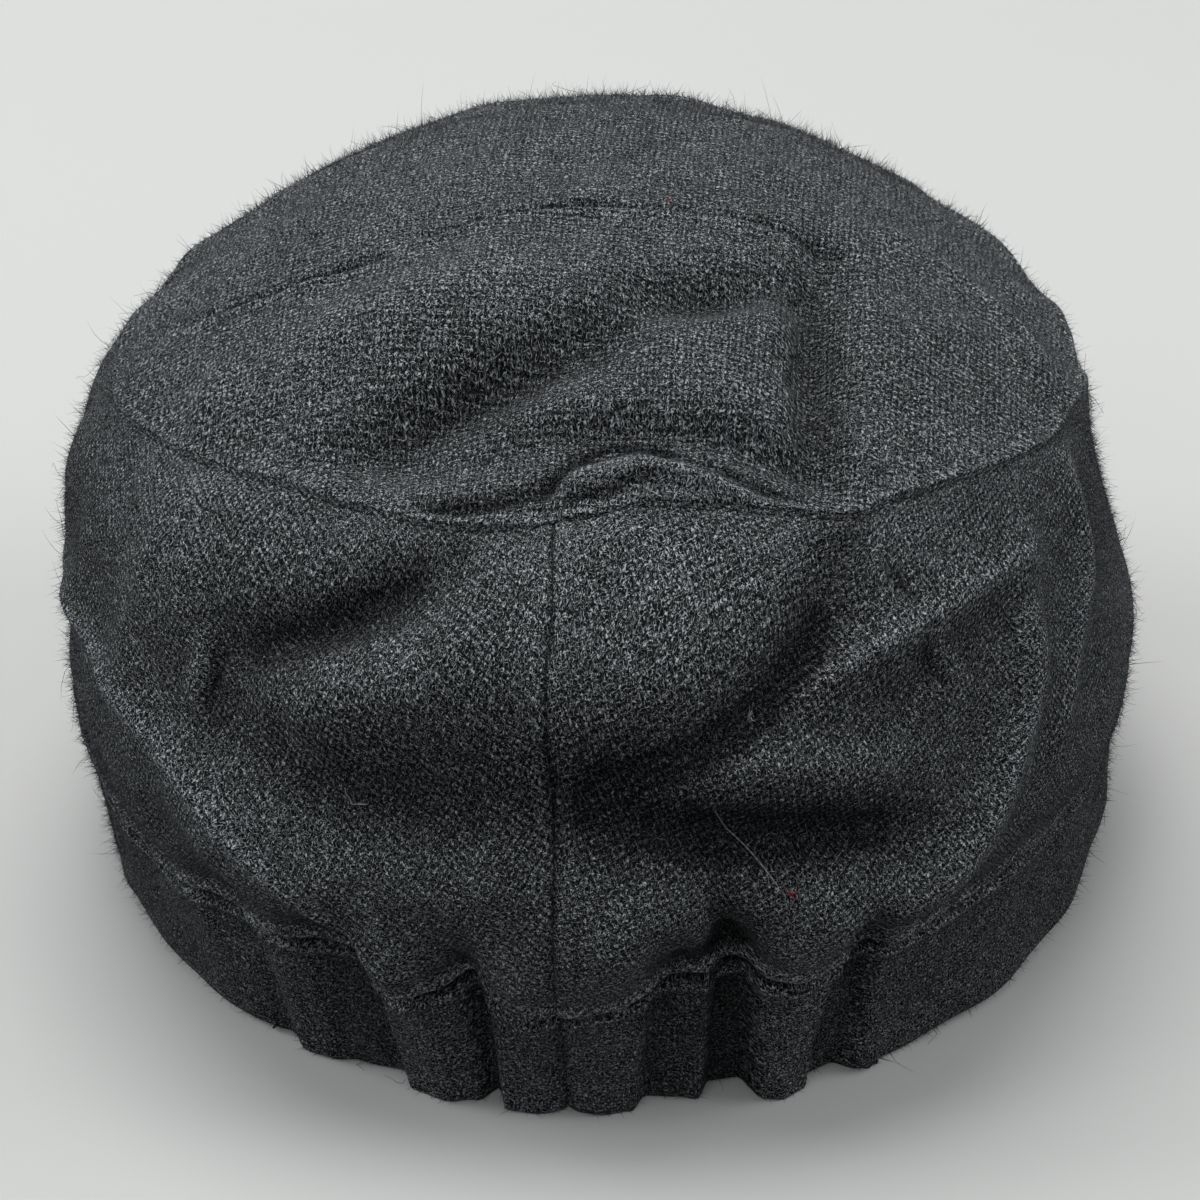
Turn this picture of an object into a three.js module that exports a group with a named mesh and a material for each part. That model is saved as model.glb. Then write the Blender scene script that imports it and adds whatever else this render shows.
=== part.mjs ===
// Cadet cap: a soft crown of fulled wool on a band gathered at the back, with a short stiff peak.
// Millimetres, +Z up. The cap faces -Y, its centre back is at +Y, and it rests by itself on z = 0.
// Angles run round the cap in degrees from the centre back, positive towards the wearer's right.

import * as THREE from 'three';

// Cloth and seams
const clothThickness = 2;
const bandThickness = 3;
const seamGap = 0.3;
const sideSeamAngle = 125;

// Top of the crown: how far it rises above its seam, and how flat its middle is
const domeRise = 25.7;
const domePower = 2.33;

// Peak: a thin crescent sewn under the front of the band
const peakDepth = 50;
const peakEndDepth = 3;
const peakHalfAngle = 58;
const peakThickness = 3.5;
const peakArch = 7;
const peakArchReach = 0.72;
const peakSpread = 1.02;
const peakContact = 0.3;
const peakEndRise = 16;

// Rest: the cap leans back between its gathered rim, which flattens, and the peak's front edge
const restTilt = THREE.MathUtils.degToRad(5);
const restSag = 1.5;
const middleShift = new THREE.Vector3(-0.07, 18.2, 0);

// Steps of the mesh
const gatherReach = 48;
const gatherStep = 2;
const plainStep = 5.5;
const wallRows = 16;
const bandRows = 3;
const peakColumns = 24;
const peakRows = 5;
const topFineRadii = [0.95, 0.89];
const topCoarseRadii = [0.81, 0.72, 0.62, 0.52, 0.42, 0.31, 0.2, 0.1];

// Each level of the cap, square to the rim. back and front are measured from the head's middle,
// the heights are at the back, the sides and the front, squareness is 2 for an ellipse, and
// shift moves a level towards the wearer's left.
const levels = {
  rim: {
    halfWidth: 91, back: 95, front: 97, heightBack: 0, heightSide: 0, heightFront: 0,
    squareness: 2.05, shift: 0,
  },
  bandTop: {
    halfWidth: 92.6, back: 95, front: 98, heightBack: 29.4, heightSide: 28.4, heightFront: 30,
    squareness: 2.05, shift: 1.5,
  },
  lowerBulge: {
    halfWidth: 93.3, back: 101.3, front: 101, heightBack: 41.9, heightSide: 37.2, heightFront: 42,
    squareness: 2.08, shift: 1.8,
  },
  middle: {
    halfWidth: 90.2, back: 95.9, front: 101, heightBack: 60, heightSide: 56.9, heightFront: 56,
    squareness: 2.08, shift: 2.4,
  },
  upperBulge: {
    halfWidth: 89.3, back: 82, front: 94.6, heightBack: 81.4, heightSide: 69.3, heightFront: 70.2,
    squareness: 2.02, shift: 4.1,
  },
  topSeam: {
    halfWidth: 84.4, back: 59.9, front: 88.6, heightBack: 96.4, heightSide: 83.9, heightFront: 85.8,
    squareness: 1.95, shift: 1.5,
  },
};
const wallLevels = [levels.bandTop, levels.lowerBulge, levels.middle, levels.upperBulge, levels.topSeam];

// Folds of the crown wall. Points are [angle, height], with height 0 at the band and 1 at the top
// seam. rise is outwards in millimetres, a valley's is negative, and width is half the fold's.
const wallFolds = [
  { name: 'left valley', from: [-12, 0.91], bend: [-20, 0.8], to: [-36, 0.7], rise: -6, width: 6 },
  { name: 'left shelf', from: [-3, 0.78], bend: [-16, 0.74], to: [-30, 0.62], rise: 3.6, width: 9 },
  { name: 'left shoulder', from: [-44, 0.95], bend: [-50, 0.8], to: [-52, 0.66], rise: 2.4, width: 9 },
  { name: 'left hollow', from: [-3, 0.56], bend: [-18, 0.46], to: [-37, 0.57], rise: -4.6, width: 7.5 },
  { name: 'right ridge', from: [59, 0.81], bend: [42, 0.79], to: [20, 0.67], rise: 4, width: 4.5 },
  { name: 'under right ridge', from: [58, 0.74], bend: [44, 0.71], to: [27, 0.62], rise: -1.8, width: 4.5 },
  { name: 'pillow valley', from: [31, 0.92], bend: [29, 0.66], to: [3, 0.57], rise: -6.5, width: 5 },
  { name: 'pillow', from: [6, 0.77], bend: [12, 0.75], to: [19, 0.77], rise: 5, width: 12 },
  { name: 'belly between valleys', from: [10, 0.585], bend: [22, 0.6], to: [34, 0.53], rise: 3, width: 5 },
  { name: 'lower valley', from: [3, 0.51], bend: [20, 0.47], to: [36, 0.4], rise: -6.5, width: 6 },
  { name: 'right vee', from: [15, 0.4], bend: [17, 0.22], to: [17.5, 0.03], rise: -3, width: 4.5 },
  { name: 'left belly', from: [-8, 0.36], bend: [-20, 0.36], to: [-34, 0.42], rise: 2.4, width: 10 },
  { name: 'centre belly', from: [2, 0.28], bend: [5, 0.3], to: [9, 0.3], rise: 3.4, width: 8 },
  { name: 'right belly', from: [24, 0.26], bend: [29, 0.28], to: [35, 0.28], rise: 3.6, width: 9 },
  { name: 'left pouch', from: [-84, 0.52], bend: [-50, 0.56], to: [-18, 0.16], rise: 3.4, width: 8 },
  { name: 'right pouch', from: [58, 0.74], bend: [58, 0.42], to: [36, 0.22], rise: 4, width: 5.5 },
  { name: 'right side ridge', from: [71, 0.94], bend: [78, 0.66], to: [62, 0.4], rise: 2.4, width: 6 },
  { name: 'right side swell', from: [82, 0.04], bend: [97, 0.1], to: [112, 0.16], rise: 3.4, width: 20 },
  { name: 'left side dent', from: [-84, 0.42], bend: [-92, 0.4], to: [-100, 0.42], rise: -2.2, width: 9 },
];
const wallReach = { across: 1.62, up: 78 };

// Folds of the top, as points [x, y] in millimetres from the head's middle, otherwise the same.
const topFolds = [
  { name: 'back lip', from: [26, 57], bend: [-5, 61], to: [-36, 53], rise: 1.8, width: 4 },
  { name: 'lip valley', from: [33, 52], bend: [-5, 44], to: [-39, 49], rise: -3.2, width: 3.8 },
  { name: 'diagonal valley', from: [-3, 29], bend: [16, 40], to: [42, 49], rise: -6.6, width: 6.5 },
  { name: 'dent', from: [-9, 21], bend: [-18, 19], to: [-30, 12], rise: -5, width: 6 },
  { name: 'right valley', from: [-37, 4], bend: [-38, 26], to: [-38, 47], rise: -4.8, width: 6.5 },
  { name: 'left swell', from: [6, 15], bend: [32, 24], to: [60, 29], rise: 3.4, width: 9 },
  { name: 'right swell', from: [-16, 34], bend: [-22, 38], to: [-27, 40], rise: 2.2, width: 8 },
  { name: 'right rim ridge', from: [-50, -10], bend: [-72, -6], to: [-77, 10], rise: 1.8, width: 5 },
];

// Gathers of the elastic back, one row for each tuck or hollow. The angles are at the top of the
// band and at the rim, and width is half the gather's width in degrees.
const gathers = [
  { top: -36, rim: -33, rise: -0.8, width: 2.4 },
  { top: -30, rim: -28, rise: 1.4, width: 2.2 },
  { top: -24, rim: -22, rise: -1.8, width: 3 },
  { top: -14.5, rim: -12.5, rise: 2.8, width: 3.4 },
  { top: -9, rim: -8.2, rise: -3.4, width: 1.8 },
  { top: -4, rim: -3.6, rise: 2.8, width: 2.6 },
  { top: 5, rim: 3.5, rise: 3, width: 3.2 },
  { top: 11, rim: 8.8, rise: -3.2, width: 2 },
  { top: 17.5, rim: 16.4, rise: -4.6, width: 2.2 },
  { top: 25, rim: 21.5, rise: 2.8, width: 3.8 },
  { top: 31.5, rim: 28, rise: -2.2, width: 2 },
  { top: 35.5, rim: 33, rise: 1, width: 2.6 },
];
const gatherFade = 0.34;
const gatherDepth = 1.5;

const up = new THREE.Vector3(0, 0, 1);

function powerOf(value, squareness) {
  return Math.sign(value) * Math.abs(value) ** (2 / squareness);
}

// A point of a level at an angle: an oval whose front and back halves have their own lengths.
function levelPoint(level, angle) {
  const turn = THREE.MathUtils.degToRad(angle);
  const sine = Math.sin(turn);
  const cosine = Math.cos(turn);
  const length = cosine > 0 ? level.back : level.front;
  const middleHeight = (level.heightBack + level.heightFront) / 2;
  const lean = (level.heightBack - level.heightFront) / 2;
  return new THREE.Vector3(
    level.shift - level.halfWidth * powerOf(sine, level.squareness),
    length * powerOf(cosine, level.squareness),
    level.heightSide + lean * cosine + (middleHeight - level.heightSide) * cosine * cosine,
  );
}

// Catmull-Rom blend of the wall's levels, so that the wall is one smooth curve from band to top.
function wallLevel(height) {
  const last = wallLevels.length - 1;
  const place = height * last;
  const start = Math.min(Math.floor(place), last - 1);
  const part = place - start;
  const around = [-1, 0, 1, 2].map((step) => wallLevels[THREE.MathUtils.clamp(start + step, 0, last)]);
  const blended = {};
  for (const key of Object.keys(levels.rim)) {
    const [a, b, c, d] = around.map((level) => level[key]);
    const slope = c - a;
    const bendOut = 2 * a - 5 * b + 4 * c - d;
    const bendIn = 3 * b - a - 3 * c + d;
    blended[key] = (2 * b + slope * part + bendOut * part ** 2 + bendIn * part ** 3) / 2;
  }
  return blended;
}

function bandLevel(share) {
  const blended = {};
  for (const key of Object.keys(levels.rim)) {
    blended[key] = THREE.MathUtils.lerp(levels.rim[key], levels.bandTop[key], share);
  }
  return blended;
}

// The top swells over the plane of its seam, and takes up the seam's dip at the sides.
function topPoint(angle, radius) {
  const seam = levels.topSeam;
  const edge = levelPoint(seam, angle);
  const middleY = (seam.back - seam.front) / 2;
  const halfLength = (seam.back + seam.front) / 2;
  const middleHeight = (seam.heightBack + seam.heightFront) / 2;
  const slope = (seam.heightBack - seam.heightFront) / 2 / halfLength;
  const dip = edge.z - middleHeight - slope * (edge.y - middleY);
  const x = seam.shift + (edge.x - seam.shift) * radius;
  const y = middleY + (edge.y - middleY) * radius;
  const rise = domeRise * (1 - radius ** domePower);
  return new THREE.Vector3(x, y, middleHeight + slope * (y - middleY) + dip * radius ** 2 + rise);
}

// How far the folds of a table push the cloth out at a place. Each fold is a curve through its
// three points that fades to nothing over its width and towards its ends.
function foldRise(folds, place, reach) {
  const samples = 40;
  let total = 0;
  for (const fold of folds) {
    let nearest = Infinity;
    let along = 0;
    for (let step = 0; step <= samples; step += 1) {
      const t = step / samples;
      const weights = [(1 - t) ** 2, 2 * t * (1 - t), t ** 2];
      const point = [0, 1].map((axis) => weights[0] * fold.from[axis]
        + weights[1] * fold.bend[axis] + weights[2] * fold.to[axis]);
      const distance = Math.hypot((place[0] - point[0]) * reach.across, (place[1] - point[1]) * reach.up);
      if (distance < nearest) {
        nearest = distance;
        along = t;
      }
    }
    const endFade = 0.55 + 0.45 * Math.sin(Math.PI * along);
    total += fold.rise * endFade * Math.exp(-((nearest / fold.width) ** 2));
  }
  return total;
}

// How far the gathers push the cloth out, from 0 at the rim to 1 at the top of the band.
function gatherRise(angle, share) {
  let total = 0;
  for (const gather of gathers) {
    const middle = THREE.MathUtils.lerp(gather.rim, gather.top, share);
    total += gather.rise * Math.exp(-(((angle - middle) / gather.width) ** 2));
  }
  return total;
}

function wallCloth(angle, height) {
  const base = levelPoint(wallLevel(height), angle);
  const outward = new THREE.Vector3(base.x, base.y, 0).normalize();
  const gathered = gatherRise(angle, 1) * (1 - THREE.MathUtils.smoothstep(height, 0, gatherFade));
  const deeper = 1 + gatherDepth * THREE.MathUtils.smoothstep(height, 0, gatherFade / 2);
  const lowerHold = THREE.MathUtils.smoothstep(height, 0, 0.12);
  const upperHold = 1 - THREE.MathUtils.smoothstep(height, 0.9, 1);
  const folded = foldRise(wallFolds, [angle, height], wallReach) * lowerHold * upperHold;
  base.addScaledVector(outward, gathered * deeper);
  return base.addScaledVector(wallNormal(angle, height), folded);
}

function topCloth(angle, radius) {
  const base = topPoint(angle, radius);
  const seamHold = 1 - THREE.MathUtils.smoothstep(radius, 0.9, 1);
  const rise = foldRise(topFolds, [base.x, base.y], { across: 1, up: 1 }) * seamHold;
  return base.addScaledVector(topNormal(angle, radius), rise);
}

function bandCloth(angle, share) {
  const base = levelPoint(bandLevel(share), angle);
  const outward = new THREE.Vector3(base.x, base.y, 0).normalize();
  return base.addScaledVector(outward, gatherRise(angle, share));
}

// Outward direction of a smooth surface, from two small steps along it.
function surfaceNormal(surface, angle, row, step) {
  const around = surface(angle + 0.5, row).sub(surface(angle - 0.5, row));
  const along = surface(angle, row + step).sub(surface(angle, row - step));
  return around.cross(along).normalize();
}

function wallNormal(angle, height) {
  const inside = THREE.MathUtils.clamp(height, 0.01, 0.99);
  return surfaceNormal((a, h) => levelPoint(wallLevel(h), a), angle, inside, 0.01);
}

function topNormal(angle, radius) {
  if (radius < 0.05) return up.clone();
  const inside = Math.min(radius, 0.99);
  return surfaceNormal(topPoint, angle, inside, -0.01);
}

// Both cloths of the top seam are mitred on the direction halfway between them.
function seamNormal(angle) {
  return wallNormal(angle, 1).add(topNormal(angle, 1)).normalize();
}

// Lays the cap down: it leans back about its rim, sags a little, and flattens on the surface.
function settle(point) {
  const pivot = levels.rim.back;
  const reach = point.y - pivot;
  const y = pivot + reach * Math.cos(restTilt) + point.z * Math.sin(restTilt);
  const z = point.z * Math.cos(restTilt) - reach * Math.sin(restTilt) - restSag;
  return new THREE.Vector3(point.x, y, Math.max(z, 0)).add(middleShift);
}

function angleSteps(from, to) {
  const angles = [];
  let angle = from;
  while (angle < to - 0.01) {
    angles.push(angle);
    angle += angle >= -gatherReach && angle < gatherReach ? gatherStep : plainStep;
  }
  angles.push(to);
  return angles;
}

function fullCircle() {
  return angleSteps(-sideSeamAngle, sideSeamAngle)
    .concat(angleSteps(sideSeamAngle, 360 - sideSeamAngle).slice(1, -1));
}

// A closed wall between two grids of points, each a list of rows. Where the columns go all the
// way round, the last column meets the first.
function wallGeometry(outside, inside, goesRound) {
  const rows = outside.length;
  const columns = outside[0].length;
  const points = [...outside.flat(), ...inside.flat()];
  const out = (row, column) => row * columns + (column % columns);
  const inn = (row, column) => rows * columns + out(row, column);
  const faces = [];
  const quad = (a, b, c, d) => faces.push(a, b, c, a, c, d);
  const spans = goesRound ? columns : columns - 1;
  for (let row = 0; row < rows - 1; row += 1) {
    for (let column = 0; column < spans; column += 1) {
      quad(out(row, column), out(row, column + 1), out(row + 1, column + 1), out(row + 1, column));
      quad(inn(row, column), inn(row + 1, column), inn(row + 1, column + 1), inn(row, column + 1));
    }
  }
  const top = rows - 1;
  for (let column = 0; column < spans; column += 1) {
    quad(out(0, column + 1), out(0, column), inn(0, column), inn(0, column + 1));
    quad(out(top, column), out(top, column + 1), inn(top, column + 1), inn(top, column));
  }
  if (!goesRound) {
    for (let row = 0; row < top; row += 1) {
      quad(out(row, 0), out(row + 1, 0), inn(row + 1, 0), inn(row, 0));
      quad(out(row + 1, spans), out(row, spans), inn(row, spans), inn(row + 1, spans));
    }
  }
  return closedGeometry(points, faces);
}

function closedGeometry(points, faces) {
  const geometry = new THREE.BufferGeometry();
  geometry.setAttribute('position', new THREE.Float32BufferAttribute(points.flatMap((p) => p.toArray()), 3));
  geometry.setIndex(faces);
  geometry.computeVertexNormals();
  return geometry;
}

// A panel of the crown wall between two seams.
function wallPanel(from, to) {
  const gapAngle = THREE.MathUtils.radToDeg(seamGap / 2 / levels.middle.halfWidth);
  const angles = angleSteps(from, to);
  angles[0] += gapAngle;
  angles[angles.length - 1] -= gapAngle;
  const gapHeight = seamGap / 2 / wallReach.up;
  const outside = [];
  const inside = [];
  for (let row = 0; row <= wallRows; row += 1) {
    const height = THREE.MathUtils.clamp(row / wallRows, gapHeight, 1 - gapHeight);
    const cloth = angles.map((angle) => wallCloth(angle, height));
    const normals = angles.map((angle) => (row === wallRows ? seamNormal(angle) : wallNormal(angle, height)));
    outside.push(cloth.map(settle));
    inside.push(cloth.map((point, i) => settle(point.clone().addScaledVector(normals[i], -clothThickness))));
  }
  return wallGeometry(outside, inside, false);
}

// The band stands straight under the crown, with a flat lower edge.
function bandGeometry() {
  const angles = fullCircle();
  const topShare = 1 - seamGap / levels.bandTop.heightBack;
  const outside = [];
  const inside = [];
  for (let row = 0; row <= bandRows; row += 1) {
    const share = topShare * row / bandRows;
    const cloth = angles.map((angle) => bandCloth(angle, share));
    outside.push(cloth.map(settle));
    inside.push(cloth.map((point) => {
      const inward = new THREE.Vector3(-point.x, -point.y, 0).normalize();
      return settle(point.clone().addScaledVector(inward, bandThickness));
    }));
  }
  return wallGeometry(outside, inside, true);
}

// The top is rings of points that halve in number towards the middle, and one point there.
function topGeometry() {
  const seam = levels.topSeam;
  const edgeRadius = 1 - seamGap / 2 / seam.back;
  const fineAngles = fullCircle();
  const coarseAngles = fineAngles.filter((angle, i) => i % 2 === 0);
  const rings = [
    ...[edgeRadius, ...topFineRadii].map((radius) => ({ radius, angles: fineAngles })),
    ...topCoarseRadii.map((radius) => ({ radius, angles: coarseAngles })),
    { radius: 0, angles: [0] },
  ];
  const outside = [];
  const inside = [];
  const starts = [];
  for (const { radius, angles } of rings) {
    starts.push(outside.length);
    for (const angle of angles) {
      const point = topCloth(angle, radius);
      const normal = radius === edgeRadius ? seamNormal(angle) : topNormal(angle, radius);
      outside.push(settle(point));
      inside.push(settle(point.clone().addScaledVector(normal, -clothThickness)));
    }
  }
  const faces = [];
  const bothSides = (a, b, c) => {
    faces.push(a, b, c);
    faces.push(outside.length + a, outside.length + c, outside.length + b);
  };
  for (let ring = 0; ring < rings.length - 1; ring += 1) {
    const count = rings[ring].angles.length;
    const nextCount = rings[ring + 1].angles.length;
    const here = (i) => starts[ring] + (i % count);
    const next = (i) => starts[ring + 1] + (i % nextCount);
    if (nextCount === count) {
      for (let i = 0; i < count; i += 1) {
        bothSides(here(i), here(i + 1), next(i + 1));
        bothSides(here(i), next(i + 1), next(i));
      }
    } else if (nextCount > 1) {
      for (let i = 0; i < nextCount; i += 1) {
        bothSides(here(2 * i), here(2 * i + 1), next(i));
        bothSides(here(2 * i + 1), next(i + 1), next(i));
        bothSides(here(2 * i + 1), here(2 * i + 2), next(i + 1));
      }
    } else {
      for (let i = 0; i < count; i += 1) {
        bothSides(here(i), here(i + 1), next(0));
      }
    }
  }
  const edge = rings[0].angles.length;
  for (let i = 0; i < edge; i += 1) {
    const j = (i + 1) % edge;
    faces.push(j, i, outside.length + i);
    faces.push(j, outside.length + i, outside.length + j);
  }
  return closedGeometry([...outside, ...inside], faces);
}

// The peak hangs from under the band's front edge. It is arched across, so that its front edge
// comes down to the surface at both sides and stands clear of it in the middle.
function peakGeometry() {
  const underside = [];
  const topside = [];
  for (let row = 0; row <= peakRows; row += 1) {
    const share = row / peakRows;
    underside.push([]);
    topside.push([]);
    for (let column = 0; column <= peakColumns; column += 1) {
      const across = 2 * column / peakColumns - 1;
      const rim = bandCloth(180 + peakHalfAngle * across, 0);
      const inward = new THREE.Vector3(-rim.x, -rim.y, 0).normalize();
      const root = settle(rim.addScaledVector(inward, bandThickness / 2));
      root.z -= seamGap;
      const depth = peakEndDepth + (peakDepth - peakEndDepth) * Math.cos(Math.PI / 2 * across) ** 0.7;
      const arch = peakArch * Math.cos(Math.PI / 2 * Math.min(Math.abs(across) / peakArchReach, 1));
      const edge = peakThickness - peakContact + arch;
      const drop = (root.z - edge) * (1 - across ** peakEndRise);
      const point = new THREE.Vector3(
        middleShift.x + (root.x - middleShift.x) * (1 + (peakSpread - 1) * share),
        root.y - depth * share,
        root.z - drop * share ** 1.15,
      );
      topside[row].push(point);
      underside[row].push(new THREE.Vector3(point.x, point.y, Math.max(point.z - peakThickness, 0)));
    }
  }
  return wallGeometry(underside, topside, false);
}

const wool = { color: 0x24262a, roughness: 0.95, metalness: 0 };

function piece(name, geometry) {
  const mesh = new THREE.Mesh(geometry, new THREE.MeshStandardMaterial(wool));
  mesh.name = name;
  return mesh;
}

const cap = new THREE.Group();
cap.add(
  piece('top_panel', topGeometry()),
  piece('front_panel', wallPanel(sideSeamAngle, 360 - sideSeamAngle)),
  piece('back_panel_left', wallPanel(-sideSeamAngle, 0)),
  piece('back_panel_right', wallPanel(0, sideSeamAngle)),
  piece('band', bandGeometry()),
  piece('peak', peakGeometry()),
);

export default cap;
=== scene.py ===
# Looks of the cadet cap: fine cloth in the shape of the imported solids, with its weave and nap,
# its seams, stitches, lint and loose threads, on a pale floor under soft light.
# The shape is worked out in millimetres and turned into metres when a mesh is made. Angles run
# round the cap in degrees from the centre back, positive towards the wearer's right.

import math
from collections import namedtuple

import bpy
import numpy as np
from mathutils import Matrix, Vector


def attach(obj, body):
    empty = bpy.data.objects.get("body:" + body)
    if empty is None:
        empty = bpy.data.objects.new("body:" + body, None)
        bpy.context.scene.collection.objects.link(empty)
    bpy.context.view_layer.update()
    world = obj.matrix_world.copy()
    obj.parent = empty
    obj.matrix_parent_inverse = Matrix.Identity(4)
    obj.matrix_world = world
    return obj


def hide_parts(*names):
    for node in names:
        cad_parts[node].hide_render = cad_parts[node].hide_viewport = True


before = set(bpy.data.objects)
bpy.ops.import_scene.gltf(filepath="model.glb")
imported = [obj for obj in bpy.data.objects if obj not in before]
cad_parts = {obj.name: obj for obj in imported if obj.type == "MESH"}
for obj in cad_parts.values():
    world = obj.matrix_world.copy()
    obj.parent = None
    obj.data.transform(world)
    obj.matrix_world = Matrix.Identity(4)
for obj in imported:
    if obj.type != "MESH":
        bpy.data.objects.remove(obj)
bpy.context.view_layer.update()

MM = 0.001
SEED = 20

# Cloth and seams
CLOTH_THICKNESS = 2.0
BAND_THICKNESS = 3.0
SEAM_GAP = 0.06
PEAK_GAP = 0.3
SIDE_SEAM_ANGLE = 125.0
WALL_HEIGHT = 78.0
BAND_HEIGHT = 29.4
DEGREE_LENGTH = 1.62

# Top of the crown: how far it rises above its seam, and how flat its middle is
DOME_RISE = 25.7
DOME_POWER = 2.33

# Peak: a thin crescent sewn under the front of the band
PEAK_DEPTH = 50.0
PEAK_END_DEPTH = 3.0
PEAK_HALF_ANGLE = 58.0
PEAK_THICKNESS = 3.5
PEAK_ARCH = 7.0
PEAK_ARCH_REACH = 0.72
PEAK_SPREAD = 1.02
PEAK_CONTACT = 0.3
PEAK_END_RISE = 16
PEAK_FALL = 1.15
PEAK_EDGE_ROUND = 1.6

# Rest: the cap leans back between its gathered rim, which flattens, and the peak's front edge
REST_TILT = math.radians(5)
REST_SAG = 1.5
REST_SOFTNESS = 0.6
MIDDLE_SHIFT = np.array([-0.07, 18.2, 0.0])

# Each level of the cap, square to the rim. back and front are measured from the middle of the
# band, the heights are at the back, the sides and the front, squareness is 2 for an ellipse, and
# shift moves a level towards the wearer's left.
#                 half_width, back, front, height_back, height_side, height_front, squareness, shift
RIM = np.array([91.0, 95.0, 97.0, 0.0, 0.0, 0.0, 2.05, 0.0])
BAND_TOP = np.array([92.6, 95.0, 98.0, 29.4, 28.4, 30.0, 2.05, 1.5])
LOWER_BULGE = np.array([93.3, 101.3, 101.0, 41.9, 37.2, 42.0, 2.08, 1.8])
MIDDLE = np.array([90.2, 95.9, 101.0, 60.0, 56.9, 56.0, 2.08, 2.4])
UPPER_BULGE = np.array([89.3, 82.0, 94.6, 81.4, 69.3, 70.2, 2.02, 4.1])
TOP_SEAM = np.array([84.4, 59.9, 88.6, 96.4, 83.9, 85.8, 1.95, 1.5])
WALL_LEVELS = np.array([BAND_TOP, LOWER_BULGE, MIDDLE, UPPER_BULGE, TOP_SEAM])

# A fold is a curve through three places. rise is outwards in millimetres, a valley's is
# negative, and width is half the fold's.
Fold = namedtuple("Fold", "name start bend end rise width")
FOLD_END = 0.55

# Folds of the crown wall, at (angle, height) with height 0 at the band and 1 at the top seam
WALL_FOLDS = [
    Fold("left valley", (-12, 0.91), (-20, 0.80), (-36, 0.70), -6.0, 6.0),
    Fold("left shelf", (-3, 0.78), (-16, 0.74), (-30, 0.62), 3.6, 9.0),
    Fold("left shoulder", (-44, 0.95), (-50, 0.80), (-52, 0.66), 2.4, 9.0),
    Fold("left hollow", (-3, 0.56), (-18, 0.46), (-37, 0.57), -4.6, 7.5),
    Fold("right ridge", (59, 0.81), (42, 0.79), (20, 0.67), 2.8, 4.0),
    Fold("under right ridge", (58, 0.74), (44, 0.71), (27, 0.62), -1.8, 4.0),
    Fold("pillow valley", (31, 0.92), (29, 0.66), (3, 0.57), -6.5, 5.0),
    Fold("pillow", (6, 0.77), (12, 0.75), (19, 0.77), 5.0, 12.0),
    Fold("belly between valleys", (10, 0.585), (22, 0.60), (34, 0.53), 3.0, 4.5),
    Fold("lower valley", (3, 0.51), (20, 0.47), (36, 0.40), -6.5, 5.5),
    Fold("right vee", (15, 0.40), (17, 0.22), (17.5, 0.03), -3.0, 3.5),
    Fold("left belly", (-8, 0.36), (-20, 0.36), (-34, 0.42), 2.4, 10.0),
    Fold("centre belly", (2, 0.28), (5, 0.30), (9, 0.30), 3.4, 8.0),
    Fold("right belly", (24, 0.26), (29, 0.28), (35, 0.28), 3.6, 9.0),
    Fold("left pouch", (-84, 0.52), (-50, 0.56), (-18, 0.16), 3.4, 8.0),
    Fold("right pouch", (58, 0.74), (58, 0.42), (36, 0.22), 4.0, 5.5),
    Fold("right side ridge", (71, 0.94), (78, 0.66), (62, 0.40), 2.4, 6.0),
    Fold("right side swell", (82, 0.04), (97, 0.10), (112, 0.16), 3.4, 20.0),
    Fold("left side dent", (-84, 0.42), (-92, 0.40), (-100, 0.42), -2.2, 9.0),
]

# Finer creases of the crown wall
WALL_CREASES = [
    Fold("left valley line", (-16, 0.89), (-24, 0.78), (-33, 0.71), -1.2, 2.4),
    Fold("left crease", (-38, 0.68), (-38, 0.63), (-40, 0.56), -0.6, 1.1),
    Fold("left crease ridge", (-40, 0.68), (-41, 0.63), (-42, 0.57), 1.0, 1.8),
    Fold("pillow valley line", (29, 0.80), (26, 0.66), (5, 0.58), -1.5, 2.2),
    Fold("right ridge crest", (58, 0.81), (42, 0.79), (20, 0.67), 0.9, 1.4),
    Fold("pinch one", (37, 0.87), (38, 0.84), (40, 0.81), -0.9, 1.1),
    Fold("pinch two", (41, 0.75), (42, 0.69), (45, 0.63), -0.6, 1.0),
    Fold("pinch two ridge", (43, 0.74), (44.5, 0.69), (47, 0.64), 0.6, 1.2),
    Fold("lower valley line", (8, 0.495), (21, 0.465), (34, 0.41), -0.9, 3.0),
    Fold("right pouch edge", (57, 0.72), (57, 0.44), (37, 0.24), 0.5, 1.8),
    Fold("right side crest", (71, 0.92), (76, 0.66), (62, 0.41), 0.5, 1.8),
    Fold("left pouch edge", (-78, 0.51), (-58, 0.52), (-44, 0.44), 1.0, 1.8),
    Fold("left pouch lower edge", (-44, 0.44), (-30, 0.36), (-18, 0.17), 1.2, 1.8),
]

# Folds of the top, at (x, y) from the middle of the band
TOP_FOLDS = [
    Fold("back lip", (26, 57), (-5, 61), (-36, 53), 1.8, 4.0),
    Fold("lip valley", (33, 52), (-5, 44), (-39, 49), -3.2, 3.8),
    Fold("diagonal valley", (-3, 29), (16, 40), (42, 49), -7.0, 6.0),
    Fold("dent", (-9, 21), (-18, 19), (-30, 12), -5.8, 5.0),
    Fold("right valley", (-37, 2), (-37, 26), (-37, 50), -7.0, 4.8),
    Fold("left swell", (6, 15), (32, 24), (60, 29), 3.4, 9.0),
    Fold("right swell", (-16, 34), (-22, 38), (-27, 40), 2.2, 8.0),
    Fold("right rim ridge", (-50, -10), (-72, -6), (-77, 10), 1.8, 5.0),
]

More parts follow.
